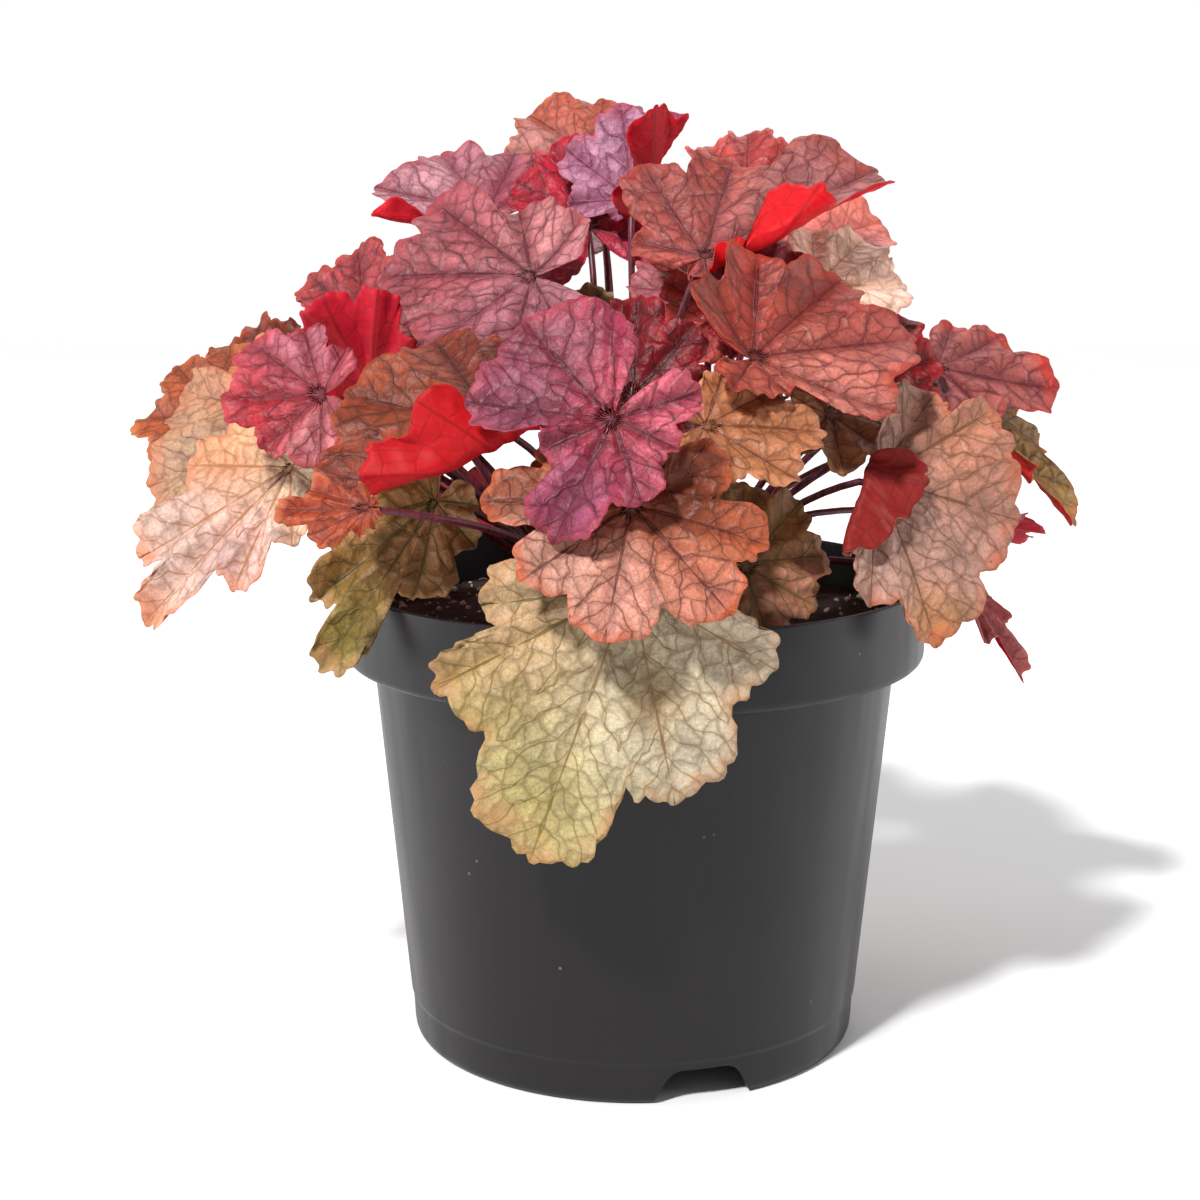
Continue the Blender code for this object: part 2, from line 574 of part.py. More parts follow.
def main():
    clear_scene()
    plant = new_collection("heuchera_in_pot")
    helpers = new_collection("cutters", helper=True)
    feet = foot_places()
    build_pot(plant, helpers)
    build_soil(plant, helpers, feet)
    for index, (spec, foot) in enumerate(zip(LEAVES, feet)):
        build_leaf(index, spec, foot, plant, helpers)


main()
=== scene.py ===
import bmesh
import bpy
import numpy as np
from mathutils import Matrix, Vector


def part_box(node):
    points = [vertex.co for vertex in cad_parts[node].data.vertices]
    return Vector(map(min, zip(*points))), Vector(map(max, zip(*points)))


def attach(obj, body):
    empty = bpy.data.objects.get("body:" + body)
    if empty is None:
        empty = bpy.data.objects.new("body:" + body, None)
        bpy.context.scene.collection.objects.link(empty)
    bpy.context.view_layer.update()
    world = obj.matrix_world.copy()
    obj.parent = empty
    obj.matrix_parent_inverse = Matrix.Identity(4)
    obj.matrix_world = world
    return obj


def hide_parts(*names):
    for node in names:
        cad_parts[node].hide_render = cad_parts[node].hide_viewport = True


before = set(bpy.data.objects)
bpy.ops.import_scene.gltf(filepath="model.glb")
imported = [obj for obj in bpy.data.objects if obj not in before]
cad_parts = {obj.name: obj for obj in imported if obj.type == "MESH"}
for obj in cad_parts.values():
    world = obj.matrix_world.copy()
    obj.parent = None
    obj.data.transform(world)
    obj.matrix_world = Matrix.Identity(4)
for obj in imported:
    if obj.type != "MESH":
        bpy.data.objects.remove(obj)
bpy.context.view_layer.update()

# Viewpoint
# The photograph looks a little down on the plant from in front, and the pot stands just right of its
# middle. All lengths below are millimetres, from the point on the floor under the pot's axis.
MM = 0.001
VIEW_AWAY = 694.0
VIEW_HEIGHT = 281.5
VIEW_DOWN = 11.17
VIEW_LEFT = 0.92
PICTURE_WIDTH = 1200
FOCAL_PIXELS = 2147

pot_low, pot_high = (np.array(corner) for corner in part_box("pot"))
pot_axis = np.array([*(pot_low + pot_high)[:2] / 2, 0.0])
eye = np.array([0.0, -VIEW_AWAY, VIEW_HEIGHT])

camera = bpy.data.objects.new("camera", bpy.data.cameras.new("camera"))
camera.data.sensor_width = 36.0
camera.data.lens = 36.0 * FOCAL_PIXELS / PICTURE_WIDTH
camera.location = pot_axis + eye * MM
camera.rotation_euler = (np.radians(90 - VIEW_DOWN), 0, np.radians(VIEW_LEFT))
bpy.context.scene.collection.objects.link(camera)
bpy.context.scene.camera = camera


# Studio
# A seamless floor of matt white paper in a white room, lit evenly from all round, with soft daylight
# from high in front on the left and a white screen standing on each side, as for a catalogue picture.
FLOOR_HALF = 3000.0
ROOM_LIGHT = 0.27
ROOM_SEEN = 1.02
bpy.context.scene.view_settings.view_transform = "Standard"


def linear(colour):
    """An sRGB hex colour as linear red, green, blue and alpha 1, by the standard's two-part curve."""
    part = np.array([int(colour[i : i + 2], 16) for i in (1, 3, 5)]) / 255
    return (*np.where(part <= 0.04045, part / 12.92, ((part + 0.055) / 1.055) ** 2.4), 1.0)


def fill(tree, node, inputs):
    """Links a node's inputs to sockets, or sets them to values."""
    for where, value in inputs.items():
        if isinstance(value, bpy.types.NodeSocket):
            tree.links.new(value, node.inputs[where])
        else:
            node.inputs[where].default_value = value


def add(tree, kind, inputs, out=0, **settings):
    """Adds a shader node, sets it up, fills its inputs, and gives one of its output sockets.

    The kind is the node's type, with its operation behind it where it has one.
    """
    kind, _, operation = kind.partition(" ")
    node = tree.nodes.new("ShaderNode" + kind)
    if operation:
        node.operation = operation
    for name, value in settings.items():
        setattr(node, name, value)
    fill(tree, node, inputs)
    return node.outputs[out]


def new_material(name):
    """A new material with its node tree and its main shader."""
    made = bpy.data.materials.new(name)
    made.use_nodes = True
    return made, made.node_tree, made.node_tree.nodes["Principled BSDF"]


def new_piece(name, points, faces, materials):
    """A smooth mesh piece at the origin; its points are given in millimetres about the pot's axis."""
    mesh = bpy.data.meshes.new(name)
    mesh.from_pydata((points * MM + pot_axis).tolist(), [], faces)
    for one in materials:
        mesh.materials.append(one)
    mesh.polygons.foreach_set("use_smooth", np.ones(len(mesh.polygons), bool))
    mesh.update()
    piece = bpy.data.objects.new(name, mesh)
    bpy.context.scene.collection.objects.link(piece)
    return piece


# The walls look white, and light the plant about a quarter as strongly
world = bpy.data.worlds.new("white room")
world.use_nodes = True
seen = add(world.node_tree, "LightPath", {}, "Is Camera Ray")
strength = add(world.node_tree, "MapRange", {0: seen, 3: ROOM_LIGHT, 4: ROOM_SEEN})
sky = world.node_tree.nodes["Background"]
fill(world.node_tree, sky, {"Strength": strength, "Color": (1, 1, 1, 1)})
bpy.context.scene.world = world

# Matt paper: near white, with only the faintest cloudiness
paper, tree, shader = new_material("matt white paper")
place = add(tree, "TexCoord", {}, "Object")
cloud = add(tree, "TexNoise", {"Vector": place, "Scale": 3.0})
tone = add(tree, "Mix", {0: cloud, 6: linear("#f4f4f4"), 7: linear("#fafafa")}, 2, data_type="RGBA")
fill(tree, shader, {"Base Color": tone, "Roughness": 0.9})
corners = np.array([[-1, -1, 0], [1, -1, 0], [1, 1, 0], [-1, 1, 0]]) * FLOOR_HALF
floor = new_piece("paper_floor", corners, [[0, 1, 2, 3]], [paper])

for name, place, size, watts in (
    ("left screen", (-1.2, 0.1, 0.25), (0.9, 1.1), 9.0),
    ("right screen", (1.2, 0.1, 0.25), (0.9, 1.1), 7.0),
    ("lamp above the back", (0.3, 1.1, 1.4), (1.2, 1.2), 9.0),
):
    lamp = bpy.data.objects.new(name, bpy.data.lights.new(name, "AREA"))
    lamp.data.shape = "RECTANGLE"
    lamp.data.size, lamp.data.size_y = size
    lamp.data.energy = watts
    lamp.location = place
    away = Vector(place) - Vector((0, 0, 0.2))
    lamp.rotation_euler = away.to_track_quat("Z", "Y").to_euler()
    bpy.context.scene.collection.objects.link(lamp)

daylight = bpy.data.objects.new("daylight", bpy.data.lights.new("daylight", "SUN"))
daylight.data.energy = 3.5
daylight.data.angle = np.radians(6)
daylight.rotation_euler = Vector((-0.45, -0.75, 1.0)).to_track_quat("Z", "Y").to_euler()
bpy.context.scene.collection.objects.link(daylight)


# Pot
# A nursery pot of about three litres, injection-moulded in charcoal polypropylene: a tapered wall, a
# collar under a rolled lip, a faint crease above the foot, and three notches in the foot for water.
POT_HEIGHT = pot_high[2] / MM
RIM_RADIUS = (pot_high[0] - pot_low[0]) / 2 / MM
COLLAR_FOOT = POT_HEIGHT - 26.0
POT_WALL = 1.8
WALL_FOOT_RADIUS = 73.7
WALL_TOP_RADIUS = 85.6
WALL_SLOPE = (WALL_TOP_RADIUS - WALL_FOOT_RADIUS) / COLLAR_FOOT
FLOOR_UNDER = 12.4
FLOOR_TOP = 14.4
CREASE_HEIGHT = 13.0
NOTCH_BEARINGS = (-72.5, 47.5, 167.5)
NOTCH_LINE = [(-22, -8), (-16.5, -0.5), (-10.5, 11), (10.5, 11), (16.5, -0.5), (22, -8)]
NOTCH_REACH = (60, 84)


def rounded(corners, radii, steps=6):
    """An open line through the corners, each cut at its radius and rounded off by a parabola."""
    corners = np.array(corners, float)
    t = np.linspace(0, 1, steps)[:, None]
    line = [corners[:1]]
    for before, here, after, radius in zip(corners, corners[1:], corners[2:], radii):
        start = here + (before - here) * min(0.49, radius / np.linalg.norm(before - here))
        end = here + (after - here) * min(0.49, radius / np.linalg.norm(after - here))
        line.append((1 - t) ** 2 * start + 2 * t * (1 - t) * here + t**2 * end)
    return np.concatenate([*line, corners[-1:]])


def turned(profile, steps):
    """Points and quads of a line (radius, height) carried round the axis, from pole to pole."""
    angle = np.arange(steps) * 2 * np.pi / steps
    ring = np.stack([np.cos(angle), np.sin(angle), np.zeros(steps)], axis=1)
    points = profile[:, None, :1] * ring + profile[:, None, 1:] * np.array([0, 0, 1])
    index = np.arange(len(profile) * steps).reshape(len(profile), steps)
    after = np.roll(index, -1, axis=1)
    quads = np.stack([index[:-1], after[:-1], after[1:], index[1:]], axis=-1)
    return points.reshape(-1, 3), quads.reshape(-1, 4).tolist()


def mended(piece, sharp=180.0):
    """Doubles merged, flat faces dropped and normals turned outwards; edges over the angle stay sharp."""
    work = bmesh.new()
    work.from_mesh(piece.data)
    bmesh.ops.remove_doubles(work, verts=work.verts, dist=1e-6)
    bmesh.ops.dissolve_degenerate(work, edges=work.edges, dist=1e-7)
    bmesh.ops.recalc_face_normals(work, faces=work.faces)
    work.to_mesh(piece.data)
    work.free()
    piece.data.set_sharp_from_angle(angle=np.radians(sharp))


def wall(height):
    """Outer radius of the pot's wall at a height."""
    return WALL_FOOT_RADIUS + WALL_SLOPE * height


pot_line = rounded(
    [
        (0, FLOOR_TOP),
        (wall(FLOOR_TOP) - POT_WALL, FLOOR_TOP),
        (wall(COLLAR_FOOT) - POT_WALL, COLLAR_FOOT + POT_WALL),
        (RIM_RADIUS - POT_WALL, COLLAR_FOOT + POT_WALL),
        (RIM_RADIUS - POT_WALL, POT_HEIGHT),
        (RIM_RADIUS, POT_HEIGHT),
        (RIM_RADIUS, COLLAR_FOOT),
        (wall(COLLAR_FOOT), COLLAR_FOOT),
        (wall(CREASE_HEIGHT + 1.2), CREASE_HEIGHT + 1.2),
        (wall(CREASE_HEIGHT) - 0.4, CREASE_HEIGHT),
        (wall(CREASE_HEIGHT - 1.6) - 0.4, CREASE_HEIGHT - 1.6),
        (wall(0), 0),
        (wall(0) - 5.4, 0),
        (wall(FLOOR_UNDER) - POT_WALL - 1, FLOOR_UNDER),
        (0, FLOOR_UNDER),
    ],
    [2, 2, 3.5, 0.8, 0.8, 3.6, 1.0, 0.5, 0.5, 0.5, 3.6, 0.8, 1.0],
)

# Polypropylene from a polished mould: charcoal and satin, with faint upright flow marks, a very fine
# grain and a few specks of dust
polypropylene, tree, shader = new_material("moulded polypropylene")
place = add(tree, "TexCoord", {}, "Object")
upright = add(tree, "Mapping", {0: place, "Scale": (120, 120, 6)})
streak = add(tree, "TexNoise", {"Vector": upright, "Scale": 1.0, "Detail": 3.0})
cloud = add(tree, "TexNoise", {"Vector": place, "Scale": 25.0, "Detail": 5.0})
speck = add(tree, "TexVoronoi", {"Vector": place, "Scale": 140.0}, "Distance")
speck = add(tree, "MapRange", {0: speck, 1: 0.04, 2: 0.09, 3: 1.0, 4: 0.0})
rare = add(tree, "TexNoise", {"Vector": place, "Scale": 70.0})
rare = add(tree, "MapRange", {0: rare, 1: 0.58, 2: 0.66, 4: 0.5})
speck = add(tree, "Math MULTIPLY", {0: speck, 1: rare})
tone = add(tree, "Mix", {0: cloud, 6: linear("#120f11"), 7: linear("#1a1619")}, 2, data_type="RGBA")
tone = add(tree, "Mix", {0: speck, 6: tone, 7: linear("#8a867e")}, 2, data_type="RGBA")
gloss = add(tree, "MapRange", {0: streak, 1: 0.3, 2: 0.7, 3: 0.36, 4: 0.46})
grain = add(tree, "TexNoise", {"Vector": place, "Scale": 1400.0, "Detail": 2.0})
bump = add(tree, "Bump", {"Height": grain, "Strength": 0.15, "Distance": 0.00015})
fill(tree, shader, {"Base Color": tone, "Roughness": gloss, "Normal": bump})
fill(tree, shader, {"IOR": 1.49, "Specular IOR Level": 0.36})

pot = new_piece("pot_moulding", *turned(pot_line, 180), [polypropylene])
mended(pot)
for bearing in NOTCH_BEARINGS:
    shape = rounded(NOTCH_LINE, [4.0, 4.5, 4.5, 4.0])
    out = np.array([np.cos(np.radians(bearing)), np.sin(np.radians(bearing)), 0])
    side = np.array([-out[1], out[0], 0])
    ring = shape[:, :1] * side + shape[:, 1:] * np.array([0, 0, 1])
    count = len(ring)
    here = np.arange(count)
    after = np.roll(here, -1)
    bands = np.stack([here, after, after + count, here + count], axis=1)
    caps = [here.tolist(), (here + count).tolist()]
    cutter = bpy.data.objects.new("notch_cutter", bpy.data.meshes.new("notch_cutter"))
    points = np.concatenate([ring + out * reach for reach in NOTCH_REACH])
    cutter.data.from_pydata((points * MM + pot_axis).tolist(), [], bands.tolist() + caps)
    mended(cutter)
    bpy.context.scene.collection.objects.link(cutter)
    cut = pot.modifiers.new("notch", "BOOLEAN")
    cut.object = cutter
    bpy.context.view_layer.update()
    pot.data = bpy.data.meshes.new_from_object(pot.evaluated_get(bpy.context.evaluated_depsgraph_get()))
    pot.modifiers.clear()
    bpy.data.objects.remove(cutter)
mended(pot, 40.0)
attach(pot, "root")
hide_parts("pot")


# Soil
# Peat and bark potting mix, dark and crumbly, with white grains of perlite lying in its surface. It
# fills the pot up to a finger under the rim and holds the feet of the leaves.
SOIL_LEVEL = 140.0
SOIL_RADIUS = 92.0
SOIL_FALL = 2.5
SOIL_GAP = 0.35
CRUMB = 1.6
PERLITE_COUNT = 420


def swell(across, away, pitch, seed):
    """Smooth random height in 0 to 1 on a plane: random values on a square grid of that pitch, blended."""
    values = np.random.default_rng(seed).random((97, 97))
    u, v = across / pitch + 48, away / pitch + 48
    i, j = np.floor(u).astype(int) % 96, np.floor(v).astype(int) % 96
    s, t = (np.array([u, v]) % 1) ** 2 * (3 - 2 * (np.array([u, v]) % 1))
    low = values[i, j] * (1 - s) + values[i + 1, j] * s
    high = values[i, j + 1] * (1 - s) + values[i + 1, j + 1] * s
    return low * (1 - t) + high * t


def soil_height(across, away):
    """Height of the soil: it falls as radius**2 towards the wall, under crumbs of two sizes."""
    radius = np.hypot(across, away)
    height = SOIL_LEVEL - SOIL_FALL * np.clip(radius / SOIL_RADIUS, 0, 1) ** 2
    height += CRUMB * (swell(across, away, 6.0, 1) - 0.5)
    return height + CRUMB * (swell(across, away, 2.2, 2) - 0.5)


soil_side = [
    (RIM_RADIUS - POT_WALL - SOIL_GAP - 0.3, SOIL_LEVEL - 3),
    (RIM_RADIUS - POT_WALL - SOIL_GAP - 0.3, COLLAR_FOOT + 5.2),
    (RIM_RADIUS - POT_WALL - SOIL_GAP - 2.4, COLLAR_FOOT + POT_WALL + 0.9),
    (wall(COLLAR_FOOT) - POT_WALL - SOIL_GAP - 0.4, COLLAR_FOOT + 1.1),
    (wall(FLOOR_TOP) - POT_WALL - SOIL_GAP - 0.4, FLOOR_TOP + 2.5),
    (wall(FLOOR_TOP) - POT_WALL - SOIL_GAP - 2.2, FLOOR_TOP + SOIL_GAP),
    (0, FLOOR_TOP + SOIL_GAP),
]
soil_top = np.stack([np.linspace(0, soil_side[0][0] - 0.3, 72), np.full(72, SOIL_LEVEL)], axis=1)
points, quads = turned(np.concatenate([soil_top, soil_side])[::-1], 200)
is_top = points[:, 2] == SOIL_LEVEL
points[is_top, 2] = soil_height(points[is_top, 0], points[is_top, 1])

# Peat: near black and brown, matt and crumbly, with lighter bits of bark
peat, tree, shader = new_material("peat potting mix")
place = add(tree, "TexCoord", {}, "Object")
crumb = add(tree, "TexVoronoi", {"Vector": place, "Scale": 420.0}, "Color")
bark = add(tree, "TexNoise", {"Vector": place, "Scale": 260.0, "Detail": 6.0})
tone = add(tree, "Mix", {0: bark, 6: linear("#17110e"), 7: linear("#4a3830")}, 2, data_type="RGBA")
tone = add(tree, "Mix", {0: 0.35, 6: tone, 7: crumb}, 2, data_type="RGBA", blend_type="MULTIPLY")
bump = add(tree, "Bump", {"Height": bark, "Strength": 0.9, "Distance": 0.0012})
fill(tree, shader, {"Base Color": tone, "Roughness": 0.95, "Normal": bump})

soil = new_piece("potting_soil", points, quads, [peat])
mended(soil)
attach(soil, "root")
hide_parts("soil")

# Perlite: puffed volcanic glass, dull white and angular
perlite, tree, shader = new_material("perlite")
place = add(tree, "TexCoord", {}, "Object")
pore = add(tree, "TexNoise", {"Vector": place, "Scale": 900.0, "Detail": 3.0})
tone = add(tree, "Mix", {0: pore, 6: linear("#8d8984"), 7: linear("#dedbd4")}, 2, data_type="RGBA")
fill(tree, shader, {"Base Color": tone, "Roughness": 0.9})

draw = np.random.default_rng(7)
radius = (SOIL_RADIUS - 1) * np.sqrt(draw.random(PERLITE_COUNT))
turn = draw.uniform(0, 2 * np.pi, PERLITE_COUNT)
centre = np.stack([radius * np.cos(turn), radius * np.sin(turn), np.zeros(PERLITE_COUNT)], axis=1)
centre[:, 2] = soil_height(centre[:, 0], centre[:, 1]) + 0.1
ball = bmesh.new()
bmesh.ops.create_icosphere(ball, subdivisions=1, radius=1)
knobs = np.array([v.co for v in ball.verts])
knob_faces = np.array([[v.index for v in f.verts] for f in ball.faces])
ball.free()
size = draw.uniform(0.5, 1.5, (PERLITE_COUNT, 1, 1)) * draw.uniform(0.7, 1.2, (PERLITE_COUNT, 1, 3))
grains = centre[:, None] + knobs * size * draw.uniform(0.7, 1.2, (PERLITE_COUNT, len(knobs), 1))
faces = knob_faces + len(knobs) * np.arange(PERLITE_COUNT)[:, None, None]
grain = new_piece("perlite_grains", grains.reshape(-1, 3), faces.reshape(-1, 3).tolist(), [perlite])
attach(grain, "root")


# Leaves
# Each leaf is one piece: a thin, quilted, ruffled blade of seven rounded lobes, with ribs that run from
# its foot into the lobes, on a slim round petiole that stands in the soil. The skin is satin, the cells
# between the veins are pale, and a darker wash follows the veins.
LOBES = np.array([-128.0, -84.0, -42.0, 0.0, 42.0, 84.0, 128.0])
LOBE_BEARINGS = np.array([-122.0, -80.0, -40.0, 0.0, 40.0, 80.0, 122.0])
LOBE_REACHES = np.array([0.60, 0.80, 0.93, 1.0, 0.93, 0.80, 0.60])
LOBE_HALVES = np.array([23, 21, 21, 21, 21, 21, 23])
FOOT_RINGS = ((7, 6.5), (14, 13.5), (60, 21.0))
HOLE_DEPTH = 13.0
PETIOLE_FOOT = 1.35
PETIOLE_TOP = 1.05
BLADE_MIDDLE = 0.6
BLADE_EDGE = 0.22
LARGE_BLADE = 40.0
QUILT_LENGTH = 7.5
QUILT_SHOULDER = 2.6
QUILT_HEIGHT = 1.0
FRILL_HEIGHT = 1.1
LAYOUT_STEP = 70

# Each finish: colours of the cells, the veins, the edge and the under skin, then the strength of the
# wash beside the veins and of the net between them
# The under skin colours are partly the skin's own red and partly a painted glow of light shining through the
# thin leaf
TRAITS = ("pale", "dark", "edge", "under", "veil", "net")
LOOKS = {
    "mauve": ("#a8646e", "#641f30", "#b84c50", "#b01428", 0.8, 0.6),
    "crimson": ("#96182e", "#4c0a18", "#b02c30", "#b81424", 0.7, 0.5),
    "rose": ("#a64e48", "#641e20", "#c85438", "#b81c24", 0.8, 0.55),
    "orange": ("#ba6038", "#7c3418", "#cc6c3c", "#b03820", 0.6, 0.5),
    "brown": ("#803820", "#44140a", "#b8502c", "#b02420", 0.75, 0.55),
    "tan": ("#b87c4c", "#744220", "#c87c50", "#a84c2c", 0.6, 0.55),
    "peach": ("#cc8c70", "#8a4430", "#d46c48", "#b04028", 0.5, 0.55),
    "cream": ("#c4ac84", "#80703c", "#d09c78", "#b08c64", 0.55, 0.5),
    "olive": ("#8a6c34", "#50401a", "#a07040", "#84422a", 0.65, 0.5),
}


def leaf(colour, foot, facing, tips, **more):
    """A leaf laid out from the front: foot is (across, up, depth), tips are seven (across, up)."""
    return dict(colour=colour, foot=foot, facing=facing, tips=tips, **more)


def back_leaf(colour, place, heading, facing, length, **more):
    """A leaf given in space: place of the blade's foot, way of its midrib and way it faces."""
    return dict(colour=colour, place=place, heading=heading, facing=facing, length=length, **more)
